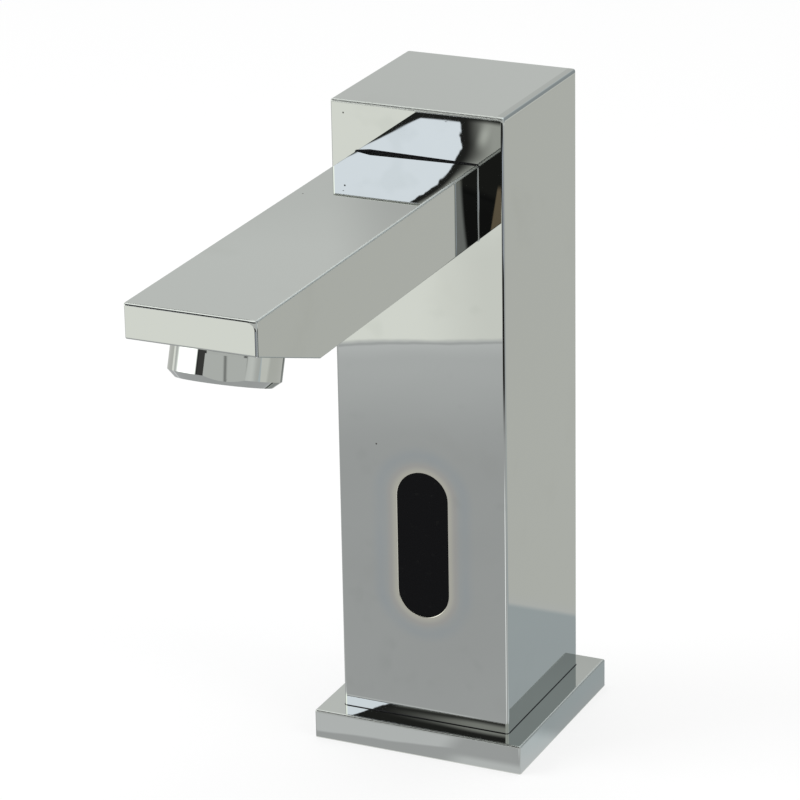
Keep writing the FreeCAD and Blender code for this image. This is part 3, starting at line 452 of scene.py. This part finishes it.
def tent_finish():
    finish = new_finish("tent_cloth")
    place = finish.place()
    x, y, z = finish.axes(place)
    height = z / TENT_RADIUS
    turn = x.angle_from(-y)
    wall = blend(y.from_to(*IN_FRONT), cloth_behind(x, height, turn), cloth_ahead(turn))
    wall = wall + RIGHT_RISE * between(turn, *RIGHT_BAND)
    wall = blend(between(turn, *LEFT_BAND) * height.from_to(*LEFT_TOP), wall, LEFT_GLOW)
    tilted = height + ROOF_TILT * y / TENT_RADIUS
    roof = height.from_to(*ROOF_HEIGHT) * tilted.from_to(*ROOF_EDGE)
    wall = blend(roof, wall, ROOF_GLOW)
    slot = between(turn, *SLOT_BAND) * height.from_to(*SLOT_FOOT)
    overhead = height.from_to(*OVERHEAD_HEIGHT) * (-y).from_to(*OVERHEAD_FRONT)
    dark = (slot + overhead).below(1.0) * (1 - roof)
    cloth = CLOTH_PLAIN + CLOTH_CLOUD * finish.noise(place, scale=1.4)
    value = blend(dark, wall * cloth, DARK)
    bluish = x.from_to(*BLUISH_FADE) * y.from_to(*BLUISH_FADE)
    tint = finish.mixed(bluish, COOL_TINT, BLUISH_TINT)
    return glowing(finish, finish.vectors("MULTIPLY", grey(finish, value), tint))


def make_tent():
    shell = bmesh.new()
    bmesh.ops.create_uvsphere(shell, u_segments=48, v_segments=24, radius=TENT_RADIUS)
    mesh = bpy.data.meshes.new("tent")
    shell.to_mesh(mesh)
    shell.free()
    mesh.materials.append(tent_finish())
    tent = bpy.data.objects.new("tent", mesh)
    bpy.context.scene.collection.objects.link(tent)
    return mirrors_only(tent)


make_tent()
print("tent radius", TENT_RADIUS, "m")

# %% [markdown]
# In that dark slot hangs the pale blue soft box. The corner between the spout and the column
# mirrors it twice, which turns it upside down and makes the bright patches there. A lamp would
# show as a plain square, so it is a painted card: its right edge leans to the left as it rises,
# and a little noise frays it, as hand polishing does. Right of it the dark fades to grey, with
# one lighter streak and a grey strip above.

# %% Soft box, for mirrors only
BOX_DEPTH = -1140 * MM
BOX_LEFT, BOX_RIGHT, BOX_LOW, BOX_HIGH = -640 * MM, -290 * MM, 340 * MM, 900 * MM
SOFT_BOX = (1.51, 1.57, 1.83)
LIT_EDGE, LIT_FOOT = -483 * MM, (526.5 * MM, 527.5 * MM)
LEAN, LEAN_START, LEAN_CURVE = 0.108 * MM, 540 * MM, 1.587
CUT_SLOPE, CUT_HEIGHT = 0.583, 230 * MM
FRAY, CRISP = 5 * MM, 0.6 * MM
FADE_GREY, FADE_START, FADE_WIDTH = 0.62, 3 * MM, 22 * MM
NARROWER, NARROWING = 13 * MM, (545 * MM, 560 * MM)
FADE_FOOT, FADE_TOP, FADE_RIGHT = (524 * MM, 527 * MM), (592 * MM, 586 * MM), (-430 * MM, -445 * MM)
STREAK_GREY, STREAK_LEAN, STREAK_BAND = 0.6, 0.3, (-310 * MM, -307 * MM, 4 * MM)
STREAK_HEIGHT = (528 * MM, 540 * MM, 5 * MM)
STRIP_GREY, STRIP_LEFT, STRIP_BAND = 0.40, (-545 * MM, -470 * MM), (593 * MM, 600 * MM, 2 * MM)
LOW_GREY, LOW_FADE = 0.03, (510 * MM, 480 * MM)


def beside_box(x, z, past_right):
    """How grey the card is outside the lit part."""
    fade = past_right.from_to(FADE_START, FADE_WIDTH - NARROWER * z.from_to(*NARROWING))
    fade = fade * z.from_to(*FADE_FOOT) * z.from_to(*FADE_TOP) * x.from_to(*FADE_RIGHT)
    streak = between(x + STREAK_LEAN * z, *STREAK_BAND) * between(z, *STREAK_HEIGHT)
    strip = x.from_to(*STRIP_LEFT) * between(z, *STRIP_BAND)
    level = DARK + LOW_GREY * z.from_to(*LOW_FADE) + FADE_GREY * fade
    return level + STREAK_GREY * streak + STRIP_GREY * strip


def soft_box_finish():
    finish = new_finish("soft_box")
    place = finish.place()
    x, _, z = finish.axes(place)
    fray = (finish.noise(place, scale=170.0) - 0.5) * FRAY
    lean = LEAN * ((z - LEAN_START).above(0.0) / MM) ** LEAN_CURVE
    past_right = x - LIT_EDGE + lean
    above_cut = z + CUT_SLOPE * x - CUT_HEIGHT
    lit = (past_right + fray).from_to(CRISP, -CRISP) * above_cut.from_to(-CRISP, CRISP)
    around = grey(finish, beside_box(x, z, past_right))
    return glowing(finish, finish.mixed(lit * z.from_to(*LIT_FOOT), around, SOFT_BOX))


box_corners = [(BOX_LEFT, BOX_DEPTH, BOX_LOW), (BOX_RIGHT, BOX_DEPTH, BOX_LOW),
               (BOX_RIGHT, BOX_DEPTH, BOX_HIGH), (BOX_LEFT, BOX_DEPTH, BOX_HIGH)]
mirrors_only(flat_sheet("soft_box", box_corners, soft_box_finish()))
print("soft box", round(-BOX_DEPTH, 3), "m in front of the tap")

# %% [markdown]
# The upright faces mirror the table. The real floor is plain, so a painted sheet just above it
# stands in for the table. Seen along the way that the column's front mirrors, the table is grey
# near the tap and bright past its edge, which wanders a little and has a thin darker line. Close
# by the plate a patch of painted light makes it lighter. Behind the tap and far to the right it is
# paler too.

# %% Grey of the table
TABLE_END = 336.5 * MM
TABLE_BACK = 70 * MM
MIRROR_WAY = (-math.sin(CAMERA_AZIMUTH), -math.cos(CAMERA_AZIMUTH), 0)
EDGE_WANDER = 10 * MM
NEAR_GREY, NEAR_CLOUD = 0.49, 0.06
NEAR_RISE, NEAR_FADE = 0.12, (TABLE_END - 110 * MM, TABLE_END - 20 * MM)
EDGE_RISE, EDGE_FADE = 0.08, (TABLE_END - 20 * MM, TABLE_END)
BACK_GREY, BACK_FADE = 0.61, (TABLE_BACK - 2 * MM, TABLE_BACK + 2 * MM)
FAR_RIGHT_RISE, FAR_RIGHT_FADE = 0.17, (0.5, 0.7)
# The patch of painted light on the table close by the front of the plate.
LIT_PATCH_RISE, LIT_PATCH_LINE, LIT_PATCH_SLOPE, LIT_PATCH_WANDER = 0.20, -36.2 * MM, 0.1, 2 * MM
LIT_PATCH_EDGE, LIT_PATCH_LEFT = (0.6 * MM, -0.8 * MM), (9 * MM, 2 * MM)
LIT_PATCH_RIGHT, LIT_PATCH_RIGHT_EDGE = (6 * MM, 14 * MM), (-36 * MM, -32 * MM)
LIT_PATCH_FRONT, LIT_PATCH_BACK = (-45.5 * MM, -44.5 * MM), (0.0, -10 * MM)


def way_ahead(finish, place):
    """How far a point lies along the way that the column's front mirrors, with a wandering edge."""
    along = finish.vectors("DOT_PRODUCT", place, MIRROR_WAY, "Value")
    wave = (finish.noise(place, scale=22.0, detail=4.0, roughness=0.6) - 0.5) * EDGE_WANDER
    return along + wave


def lit_patch_by_plate(finish, place, x, y):
    """1 on the patch of painted light close by the front of the plate."""
    wander = (finish.noise(place, scale=60.0) - 0.5) * LIT_PATCH_WANDER
    past_line = y + LIT_PATCH_SLOPE * x - LIT_PATCH_LINE + wander
    patch = past_line.from_to(*LIT_PATCH_EDGE) * x.from_to(*LIT_PATCH_LEFT)
    patch = patch + x.from_to(*LIT_PATCH_RIGHT) * y.from_to(*LIT_PATCH_RIGHT_EDGE)
    return patch * y.from_to(*LIT_PATCH_FRONT) * y.from_to(*LIT_PATCH_BACK)


def near_table(finish, place, x, y, ahead):
    level = NEAR_GREY + NEAR_RISE * ahead.from_to(*NEAR_FADE)
    level = level + EDGE_RISE * ahead.from_to(*EDGE_FADE)
    level = level + NEAR_CLOUD * (finish.noise(place, scale=14.0) - 0.5)
    # Painted light: the table is lighter close by the front of the plate.
    level = level + LIT_PATCH_RISE * lit_patch_by_plate(finish, place, x, y)
    level = blend(y.from_to(*BACK_FADE), level, BACK_GREY)
    return level + FAR_RIGHT_RISE * x.from_to(*FAR_RIGHT_FADE)


print("table ends", round(TABLE_END, 4), "m in front")

# %% [markdown]
# What the corner between the spout and the column mirrors lies ahead of the tap, to the right of
# a line that runs along that same way. Near the tap this part has a bright streak, and further
# off it is black, because the table ends there below the camera. In the black lie a thin grey
# line, a brown patch and a light blue strip. They are small, but they are what makes the corner
# look like metal in a real room.

# %% Table, for mirrors only
SHEET_LIFT = 0.2 * MM
MIRROR_SLOPE = math.tan(CAMERA_AZIMUTH)
PAST_EDGE, EDGE_LINE = (-1 * MM, 3 * MM), (-4 * MM, -1.5 * MM, 1 * MM)
BRIGHT, EDGE_SHADE = 1.03, 0.22
FALL, FALL_ACROSS, FALL_REACH = 0.14, (10 * MM, 42 * MM), (0.50, 0.42)
BORDER, BORDER_CORE = (44 * MM, 49 * MM), (44.7 * MM, 48.4 * MM)
AHEAD_BAND = (-5 * DEGREE, 60 * DEGREE, 4 * DEGREE)
STREAK_LIGHT, STREAK_TURNS = 1.4, (14 * DEGREE, 36 * DEGREE, 4 * DEGREE)
STREAK_SLOPE, STREAK_SIDE, STREAK_REACH = 0.2, (17 * MM, 21 * MM), (0.25, 0.19)
BLACK_SHARE, BLACK_REACH = 0.98, (0.25, 0.32)
LINE_GREY, LINE_BAND = 0.30, (25.05 * DEGREE, 25.6 * DEGREE, 0.1 * DEGREE)
BROWN, BROWN_SHARE = (0.26, 0.20, 0.14), 0.9
BROWN_TURN, BROWN_LEAN, BROWN_MIDDLE = 23.58 * DEGREE, 6.5 * DEGREE, 0.517
BROWN_SOFT, BROWN_START = 0.03 * DEGREE, (23.36 * DEGREE, 23.42 * DEGREE)
BROWN_REACH = (0.525, 0.515)
PALE_BLUE, PALE_SHARE = (0.85, 0.92, 1.1), 0.8
PALE_TURNS, PALE_REACH = (30 * DEGREE, 48 * DEGREE, 3 * DEGREE), (0.44, 0.58, 0.02)
NEAR_TINT, WARM_TINT, WARM_AHEAD = (0.985, 1.0, 1.04), (0.99, 1.0, 0.97), (-3 * MM, 3 * MM)
WARM_BACK = (60 * MM, 80 * MM)
RIGHT_TINT, RIGHT_SIDE = (0.88, 0.97, 1.03), (25 * MM, 35 * MM)
RIGHT_START, RIGHT_END = (-40 * MM, 0.0), (TABLE_BACK + 2 * MM, TABLE_BACK - 2 * MM)


def part_ahead(off_line, turn):
    """1 right of the line and 0 left of it; the second fade makes the border crisper."""
    return off_line.from_to(*BORDER) * off_line.from_to(*BORDER_CORE) * between(turn, *AHEAD_BAND)


def table_tint(finish, x, y, past_end):
    """Cool near the tap, warm past the edge and behind the tap, and bluish close on the right."""
    warm = past_end.from_to(*WARM_AHEAD).above(y.from_to(*WARM_BACK))
    tint = finish.mixed(warm, NEAR_TINT, WARM_TINT)
    right_side = x.from_to(*RIGHT_SIDE) * y.from_to(*RIGHT_START) * y.from_to(*RIGHT_END)
    return finish.mixed(right_side, tint, RIGHT_TINT)


def patches_in_black(finish, colour, far, turn, reach):
    edge = turn - BROWN_TURN + BROWN_LEAN * (reach - BROWN_MIDDLE)
    brown = edge.from_to(BROWN_SOFT, -BROWN_SOFT) * reach.from_to(*BROWN_REACH)
    brown = brown * far * turn.from_to(*BROWN_START)
    colour = finish.mixed(BROWN_SHARE * brown, colour, BROWN)
    strip = between(turn, *PALE_TURNS) * between(reach, *PALE_REACH) * far
    return finish.mixed(PALE_SHARE * strip, colour, PALE_BLUE)


def table_finish():
    finish = new_finish("table_in_the_mirror")
    place = finish.place()
    x, y, _ = finish.axes(place)
    turn = x.angle_from(-y)
    reach = reach_of(x, y)
    ahead = way_ahead(finish, place)
    past_end = ahead - TABLE_END
    off_line = x - MIRROR_SLOPE * y
    bright = BRIGHT - FALL * off_line.from_to(*FALL_ACROSS) * reach.from_to(*FALL_REACH)
    value = blend(past_end.from_to(*PAST_EDGE), near_table(finish, place, x, y, ahead), bright)
    value = value * (1 - EDGE_SHADE * between(past_end, *EDGE_LINE))
    right_part = part_ahead(off_line, turn)
    streak = between(turn, *STREAK_TURNS) * (x + STREAK_SLOPE * y).from_to(*STREAK_SIDE)
    value = blend(right_part * streak * reach.from_to(*STREAK_REACH), value, STREAK_LIGHT)
    far = right_part * reach.from_to(*BLACK_REACH)
    value = value * (1 - BLACK_SHARE * far) + LINE_GREY * far * between(turn, *LINE_BAND)
    colour = finish.vectors("MULTIPLY", grey(finish, value), table_tint(finish, x, y, past_end))
    return glowing(finish, patches_in_black(finish, colour, far, turn, reach))


table_corners = level_square(2 * TENT_RADIUS, SHEET_LIFT)
mirrors_only(flat_sheet("table_in_the_mirror", table_corners, table_finish()))

# %% [markdown]
# ## Polished chrome
# The column, the spout, the plate and the aerator's ring are polished brass under bright nickel
# and chrome. Chrome sends back a little over half of the light. One flat colour with no roughness
# would look like a computer's mirror, so the finish keeps what handwork leaves: a very low, wide
# bump lets straight lines wander in the mirror, finger marks are a little rougher, and a few
# pits no larger than dust are dark points, each at its own place. Edges can be dulled by a mask.

# %% Chrome
CHROME = (0.613, 0.632, 0.596)
SMUDGED = (0.565, 0.58, 0.54)
PIT = (0.10, 0.10, 0.09)
SHINE, SMUDGE_ROUGH, PIT_ROUGH, EDGE_ROUGH = 0.006, 0.014, 0.25, 0.42
WAVE_HEIGHT = 0.03 * MM


def dress(material, *names):
    """Lays one material on packed pieces, in place of the plain one that they came with."""
    for name in names:
        mesh = nodes[name].data
        mesh.materials.clear()
        mesh.materials.append(material)
    print(material.name, "on", ", ".join(names))


def chrome_base(finish, place, falling=0.0, blunt=0.0, spots=()):
    """Colour, roughness and normal; falling is a height in metres, and blunt dulls edges."""
    smudges = finish.noise(place, scale=38.0, detail=3.0, roughness=0.6).from_to(0.56, 0.80)
    pits = 0.0
    for spot in spots:
        away = finish.vectors("DISTANCE", place, spot, "Value")
        pits = away.from_to(0.30 * MM, 0.16 * MM) + pits
    colour = finish.mixed(smudges * 0.5, CHROME, SMUDGED)
    colour = finish.mixed(pits, colour, PIT)
    roughness = SHINE + SMUDGE_ROUGH * smudges + PIT_ROUGH * pits + EDGE_ROUGH * blunt
    waves = finish.noise(place, scale=26.0, detail=1.0, roughness=0.4) * WAVE_HEIGHT
    return colour, roughness, finish.bump(waves + falling, 1.0)


def chrome():
    finish = new_finish("polished_chrome")
    colour, roughness, normal = chrome_base(finish, finish.place())
    return finish.surface(Base_Color=colour, Roughness=roughness, Normal=normal, Metallic=1.0)


dress(chrome(), "aerator_collar")

# %% [markdown]
# The plate and the spout have their own marks. Along some edges the polishing wheel left a dull
# line: it is a mask on the strip where two coordinates are both near their ends. And the tip's
# upper right corner is rounded over on the real spout. Bending the mesh there would move it off
# the packed model, so a bump tilts the face towards the corner instead.

# %% Chrome of the plate and the spout
CORNER_ROUND, CORNER_FALL, CORNER_SLOPE = 2.6 * MM, 0.8 * MM, 0.6
PLATE_DULL, SPOUT_DULL = 0.9 * MM, 0.7 * MM
PLATE_BLUNT = 0.6
spout_low, spout_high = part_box("spout_shell")
plate_low, plate_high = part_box("base_plate")


def edge_between(first, second, corner, width):
    """1 on the strip of that width along an edge, where two coordinates are both at their ends."""
    return (first + second - (corner - width)).from_to(0.0, 0.4 * width)


def plate_chrome():
    finish = new_finish("plate_chrome")
    place = finish.place()
    x, y, z = finish.axes(place)
    blunt = edge_between(-y, z, plate_high.z - plate_low.y, PLATE_DULL)
    blunt = blunt.above(edge_between(x, z, plate_high.z + plate_high.x, PLATE_DULL))
    colour, roughness, normal = chrome_base(finish, place, blunt=PLATE_BLUNT * blunt)
    return finish.surface(Base_Color=colour, Roughness=roughness, Normal=normal, Metallic=1.0)


def tip_falling(x, y, z):
    """How far the tip's face seems to fall back at its upper right corner."""
    right = (x - (spout_high.x - CORNER_ROUND)).above(0.0)
    over = (z - (spout_high.z - CORNER_ROUND)).above(0.0)
    past = (reach_of(right, over) - (CORNER_ROUND - CORNER_FALL)).above(0.0)
    steep = past.below(CORNER_FALL)
    at_tip = y.from_to(spout_low.y + 0.5 * MM, spout_low.y + 0.3 * MM)
    return steep * (2 * past - steep) * at_tip * (-0.5 * CORNER_SLOPE / CORNER_FALL)


def spout_chrome():
    finish = new_finish("spout_chrome")
    place = finish.place()
    x, y, z = finish.axes(place)
    blunt = edge_between(x, z, spout_high.x + spout_high.z, SPOUT_DULL)
    spots = [(-5.7 * MM, -55.2 * MM, spout_high.z), (-14.0 * MM, -61.0 * MM, spout_high.z)]
    colour, roughness, normal = chrome_base(finish, place, tip_falling(x, y, z), blunt, spots)
    return finish.surface(Base_Color=colour, Roughness=roughness, Normal=normal, Metallic=1.0)


dress(plate_chrome(), "base_plate")
dress(spout_chrome(), "spout_shell")

# %% [markdown]
# The column needs two things more. Round the sensor window the plating shows as a cream halo
# with a faint brown and then a faint blue ring. It could be drawn as rings of mesh, but the
# distance to the window's long outline gives it at once: first the distance to the straight
# middle line, then less the radius of its round ends. And the top right edge was polished softer
# than the others, so a bump lets both faces fall away towards it.

# %% Chrome of the column
column_low, column_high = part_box("column_body")
gasket_low, gasket_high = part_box("window_gasket")
WINDOW_RADIUS = 7.25 * MM
WINDOW_MIDDLE = (gasket_low.z + gasket_high.z) / 2
WINDOW_REACH = 20.5 * MM - WINDOW_RADIUS
SOFT_EDGE, EDGE_SLOPE = 2.2 * MM, 0.36
COLUMN_DULL = 1.0 * MM
CREAM, CREAM_FADE, CREAM_ROUGH = (0.80, 0.775, 0.65), (2.2 * MM, 0.4 * MM), 0.08
BROWN_RING, BROWN_BAND = (0.645, 0.63, 0.58), (1.2 * MM, 2.6 * MM, 0.9 * MM)
BLUE_RING, BLUE_BAND = (0.555, 0.60, 0.60), (3.6 * MM, 6.2 * MM, 2.0 * MM)
THUMBED, THUMB_SHARE, THUMB_FADE = (0.45, 0.48, 0.44), 0.35, (7 * MM, 1 * MM)
THUMB_X, THUMB_Z = -8 * MM, 22 * MM


def thumb_marks(x, z, mottle):
    """One mark at the lower left of the front, and a few faint ones all over it."""
    away = reach_of(x - THUMB_X, 0.5 * (z - THUMB_Z))
    thumb = away.from_to(*THUMB_FADE) * mottle.from_to(0.40, 0.62)
    return thumb.above(0.5 * mottle.from_to(0.60, 0.75))


def column_chrome():
    finish = new_finish("column_chrome")
    place = finish.place()
    x, y, z = finish.axes(place)
    past = (x + z - (column_high.x + column_high.z - SOFT_EDGE)).above(0.0)
    falling = past * past * (-0.5 * EDGE_SLOPE / SOFT_EDGE)
    blunt = edge_between(-y, z, column_high.z - column_low.y, COLUMN_DULL)
    spots = [(-12.9 * MM, column_low.y, 85.3 * MM), (-20.3 * MM, column_low.y, 174.7 * MM)]
    colour, roughness, normal = chrome_base(finish, place, falling, blunt, spots)
    beyond = (abs(z - WINDOW_MIDDLE) - WINDOW_REACH).above(0.0)
    away = reach_of(x, beyond) - WINDOW_RADIUS
    on_front = y.from_to(column_low.y + 1.5 * MM, column_low.y + 0.5 * MM)
    mottle = finish.noise(place, scale=90.0)
    blue = between(away, *BLUE_BAND) * on_front * (0.1 + 1.2 * mottle)
    colour = finish.mixed(blue, colour, BLUE_RING)
    brown = between(away, *BROWN_BAND) * on_front
    colour = finish.mixed(0.9 * brown, colour, BROWN_RING)
    cream = away.from_to(*CREAM_FADE) * on_front
    colour = finish.mixed(0.85 * cream, colour, CREAM)
    thumbed = THUMB_SHARE * thumb_marks(x, z, mottle) * on_front
    colour = finish.mixed(thumbed, colour, THUMBED)
    return finish.surface(Base_Color=colour, Roughness=roughness + CREAM_ROUGH * cream,
                          Normal=normal, Metallic=1.0)


dress(column_chrome(), "column_body")

# %% [markdown]
# ## The seams
# Where the spout meets the column, and the column meets the plate, the polished metal runs
# together in a small hollow rounding. A bevel on the packed pieces would change their shape, so
# each seam is a thin piece of its own. Its section is a quarter of a circle, closed by one point
# that is sunk into both metals, and it is swept round the outline of the piece that stands on
# the other.

# %% Outline and sweep of a seam
SEAM_STEPS = 7
ROUND_STEPS = 3
SINK = 0.2 * MM
SHARP_ANGLE = 40 * DEGREE


def outline_corners(half_across, low, high, rounding):
    """A rectangle with small round corners as (across, along) pairs with their outward ways."""
    points = []
    for number, (side, end) in enumerate(((1, 1), (-1, 1), (-1, -1), (1, -1))):
        centre = (side * (half_across - rounding), high - rounding if end > 0 else low + rounding)
        for step in range(ROUND_STEPS + 1):
            angle = 90 * DEGREE * (number + step / ROUND_STEPS)
            way = (math.cos(angle), math.sin(angle))
            points.append((centre[0] + rounding * way[0], centre[1] + rounding * way[1], *way))
    return points


def section_points(radius):
    """The seam's section as (away from the piece, out from the face) pairs."""
    angles = [90 * DEGREE * step / SEAM_STEPS for step in range(SEAM_STEPS + 1)]
    hollow = [(radius * (1 - math.cos(angle)), radius * (1 - math.sin(angle))) for angle in angles]
    return [*hollow, (-SINK, -SINK)]


def swept_mesh(name, outline, to_space, radius_at):
    """Sweeps the section round an outline; to_space places (across, along, out) in the tap."""
    maker = bmesh.new()
    rings = []
    for across, along, way_across, way_along in outline:
        section = section_points(radius_at(across, along))
        spots = [to_space(across + away * way_across, along + away * way_along, out)
                 for away, out in section]
        rings.append([maker.verts.new(spot) for spot in spots])
    for number, ring in enumerate(rings):
        following = rings[(number + 1) % len(rings)]
        for step in range(len(ring)):
            after = (step + 1) % len(ring)
            face = maker.faces.new((ring[step], following[step], following[after], ring[after]))
            face.smooth = step < SEAM_STEPS
    bmesh.ops.recalc_face_normals(maker, faces=maker.faces)
    mesh = bpy.data.meshes.new(name)
    maker.to_mesh(mesh)
    maker.free()
    mesh.set_sharp_from_angle(angle=SHARP_ANGLE)
    return mesh


print("points in a seam's section:", len(section_points(MM)))

# %% [markdown]
# On top of the spout and at the foot the seams are painted nearly black, a painted shade in the
# hollow where the pieces meet, while the rest of the spout's seam is chrome. Two materials could
# do that, but a mask by height needs only one. On top of the spout the seam is widest at the
# left, where the most solder was laid.

# %% Seams
# The painted shade of the seams on top of the spout and at the foot, and its roughness.
SEAM_SHADE, SEAM_SHADE_ROUGH = (0.03, 0.03, 0.032), 0.3
SEAM_TOP, SEAM_FOOT = (spout_high.z - 1.0 * MM, spout_high.z - 0.3 * MM), (12 * MM, 10 * MM)
FOOT_SEAM, SPOUT_SEAM, SOLDER_SEAM = 0.22 * MM, 0.3 * MM, 0.8 * MM
SOLDER_PLACE = -13 * MM


def seam_chrome():
    finish = new_finish("seam_chrome")
    place = finish.place()
    _, _, z = finish.axes(place)
    colour, roughness, normal = chrome_base(finish, place)
    # Painted shade: the seam is nearly black on top of the spout and at the foot.
    painted_shade = z.from_to(*SEAM_TOP).above(z.from_to(*SEAM_FOOT))
    colour = finish.mixed(painted_shade, colour, SEAM_SHADE)
    return finish.surface(Base_Color=colour, Roughness=roughness + SEAM_SHADE_ROUGH * painted_shade,
                          Normal=normal, Metallic=1.0)


def seam(name, material, outline, to_space, radius_at):
    mesh = swept_mesh(name, outline, to_space, radius_at)
    mesh.materials.append(material)
    piece = bpy.data.objects.new(name, mesh)
    bpy.context.scene.collection.objects.link(piece)
    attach(piece, "tap")
    print(name, len(mesh.polygons), "faces")


def spout_seam_radius(across, up):
    soldered = up > spout_high.z - 1 * MM and abs(across - SOLDER_PLACE) < 1 * MM
    return SOLDER_SEAM if soldered else SPOUT_SEAM


seam_material = seam_chrome()
spout_outline = outline_corners(spout_high.x, spout_low.z, spout_high.z, rounding=0.4 * MM)
spout_outline.insert(len(spout_outline) // 4, (SOLDER_PLACE, spout_high.z, 0.0, 1.0))
seam("spout_seam", seam_material, spout_outline,
     to_space=lambda across, up, out: (across, column_low.y - out, up),
     radius_at=spout_seam_radius)
foot_outline = outline_corners(column_high.x, column_low.y, column_high.y, rounding=0.8 * MM)
seam("foot_seam", seam_material, foot_outline,
     to_space=lambda across, back, out: (across, back, plate_high.z + out),
     radius_at=lambda across, back: FOOT_SEAM)

# %% [markdown]
# ## The black window
# The window is a smoked plastic that lets only infrared light through. A dark glass shader could
# show the sensor behind it, but to the eye the real one is simply black, so it is opaque here,
# with a smooth face, a little dust and the faint orange-peel of a moulding.

# %% Window
SMOKE, DUSTY = (0.003, 0.003, 0.0035), (0.006, 0.006, 0.006)


def window():
    finish = new_finish("smoked_window")
    place = finish.place()
    peel = finish.noise(place, scale=900.0)
    dust = finish.noise(place, scale=420.0).from_to(0.62, 0.80)
    return finish.surface(Base_Color=finish.mixed(dust, SMOKE, DUSTY),
                          Roughness=0.22 + 0.15 * dust, Specular_IOR_Level=0.10,
                          Normal=finish.bump(peel, 0.01 * MM))


dress(window(), "sensor_lens")

# %% [markdown]
# ## The pieces inside and below
# The rest shows from below or when the tap is taken apart. Each family of materials is one
# function with a few numbers. Cast, turned and drawn metals differ in colour and in how dull
# they are, but all keep fine tool marks, so one function makes them all.

# %% Metals


def turned_metal(name, light, dark, rough, grain=900.0):
    """Bare metal with fine tool marks and slightly dull patches."""
    finish = new_finish(name)
    place = finish.place()
    patches = finish.noise(place, scale=120.0, detail=3.0)
    marks = finish.noise(finish.vectors("MULTIPLY", place, (1.0, 1.0, 6.0)), scale=grain)
    return finish.surface(Base_Color=finish.mixed(patches.from_to(0.35, 0.7), light, dark),
                          Roughness=rough + 0.12 * patches + 0.08 * marks, Metallic=1.0,
                          Normal=finish.bump(marks, 0.01 * MM))


brass = turned_metal("cast_brass", light=(0.80, 0.62, 0.32), dark=(0.62, 0.45, 0.20), rough=0.28)
steel = turned_metal("stainless", light=(0.62, 0.60, 0.57), dark=(0.50, 0.48, 0.46), rough=0.22,
                     grain=1400.0)
zinc = turned_metal("zinc_steel", light=(0.66, 0.68, 0.70), dark=(0.48, 0.52, 0.56), rough=0.30)
copper = turned_metal("copper_tube", light=(0.85, 0.50, 0.36), dark=(0.62, 0.32, 0.22), rough=0.24)
magnet = turned_metal("magnet_grey", light=(0.20, 0.20, 0.21), dark=(0.12, 0.12, 0.13), rough=0.45)
dress(brass, "bridge_plate", "inlet_fitting", "aerator_socket")
dress(steel, "inlet_filter", "check_spring", "carrier_plate", "core_tube", "plunger",
      "plunger_spring", "fixed_core", "coil_clip", "aerator_screen")
dress(zinc, "foot_screws", "carrier_screws", "sensor_screws", "bonnet_screws", "coil_yoke")
dress(copper, "riser_tube", "outlet_tube")
dress(magnet, "latch_magnet")

# %% [markdown]
# Moulded plastic is never quite one colour: it has a fine grain from the mould and cloudy
# patches that shine less. Rubber is darker and duller, with paler patches of bloom. Both could be
# plain colours, but a little noise in tone and shine keeps them from looking like paint.

# %% Plastics and rubber


def moulded(name, base, shade, rough, specular=0.4):
    finish = new_finish(name)
    place = finish.place()
    tone = finish.noise(place, scale=160.0, detail=3.0)
    grain = finish.noise(place, scale=2600.0, detail=1.0)
    return finish.surface(Base_Color=finish.mixed(tone.from_to(0.3, 0.75), base, shade),
                          Roughness=rough + 0.12 * tone, Specular_IOR_Level=specular,
                          Normal=finish.bump(grain, 0.012 * MM))


black_plastic = moulded("black_plastic", (0.020, 0.020, 0.022), (0.035, 0.035, 0.037), rough=0.42)
grey_plastic = moulded("grey_plastic", (0.30, 0.31, 0.32), (0.24, 0.25, 0.26), rough=0.40)
white_plastic = moulded("white_plastic", (0.78, 0.78, 0.74), (0.70, 0.70, 0.66), rough=0.38)
black_rubber = moulded("black_rubber", (0.018, 0.018, 0.018), (0.040, 0.040, 0.038), rough=0.68,
                       specular=0.25)
dress(black_plastic, "sensor_case", "board_parts", "solenoid_coil", "coil_lead")
dress(grey_plastic, "valve_bonnet", "aerator_insert")
dress(white_plastic, "check_poppet", "check_guide", "valve_body", "diaphragm_disc",
      "aerator_diffuser")
dress(black_rubber, "deck_gasket", "cable_grommet", "tube_seals", "window_gasket", "diaphragm",
      "plunger_pad", "aerator_seal")

# %% [markdown]
# The circuit board is green with copper tracks under its varnish. Real tracks would be a picture,
# but the borders between random cells, seen from the front, look enough like them. The two
# infrared parts beside them are cast in a clear, faintly hazy epoxy.

# %% Board and epoxy
BOARD_GREEN, TRACK_GREEN = (0.012, 0.10, 0.045), (0.03, 0.20, 0.08)
EPOXY, EPOXY_HAZE = (0.55, 0.60, 0.72), (0.75, 0.80, 0.88)


def board():
    finish = new_finish("board_green")
    flat = finish.vectors("MULTIPLY", finish.place(), (1.0, 0.0, 1.0))
    inputs = {"Vector": flat, "Scale": 420.0}
    settings = {"feature": "DISTANCE_TO_EDGE"}
    from_border = finish.node("ShaderNodeTexVoronoi", settings, inputs, "Distance")
    tracks = from_border.from_to(0.10, 0.05)
    return finish.surface(Base_Color=finish.mixed(tracks, BOARD_GREEN, TRACK_GREEN),
                          Roughness=0.35 - 0.1 * tracks, Specular_IOR_Level=0.5,
                          Normal=finish.bump(tracks, 0.03 * MM))


def clear_epoxy():
    finish = new_finish("clear_epoxy")
    haze = finish.noise(finish.place(), scale=700.0)
    return finish.surface(Base_Color=finish.mixed(haze, EPOXY, EPOXY_HAZE),
                          Roughness=0.08 + 0.1 * haze, Transmission_Weight=0.85, IOR=1.5)


dress(board(), "sensor_board")
dress(clear_epoxy(), "infrared_emitter", "infrared_receiver")

# Colours are shown as they are, without a film look.

# %% Colour view


bpy.context.scene.view_settings.view_transform = "Standard"
print("sizes written, colours shown as", bpy.context.scene.view_settings.view_transform)
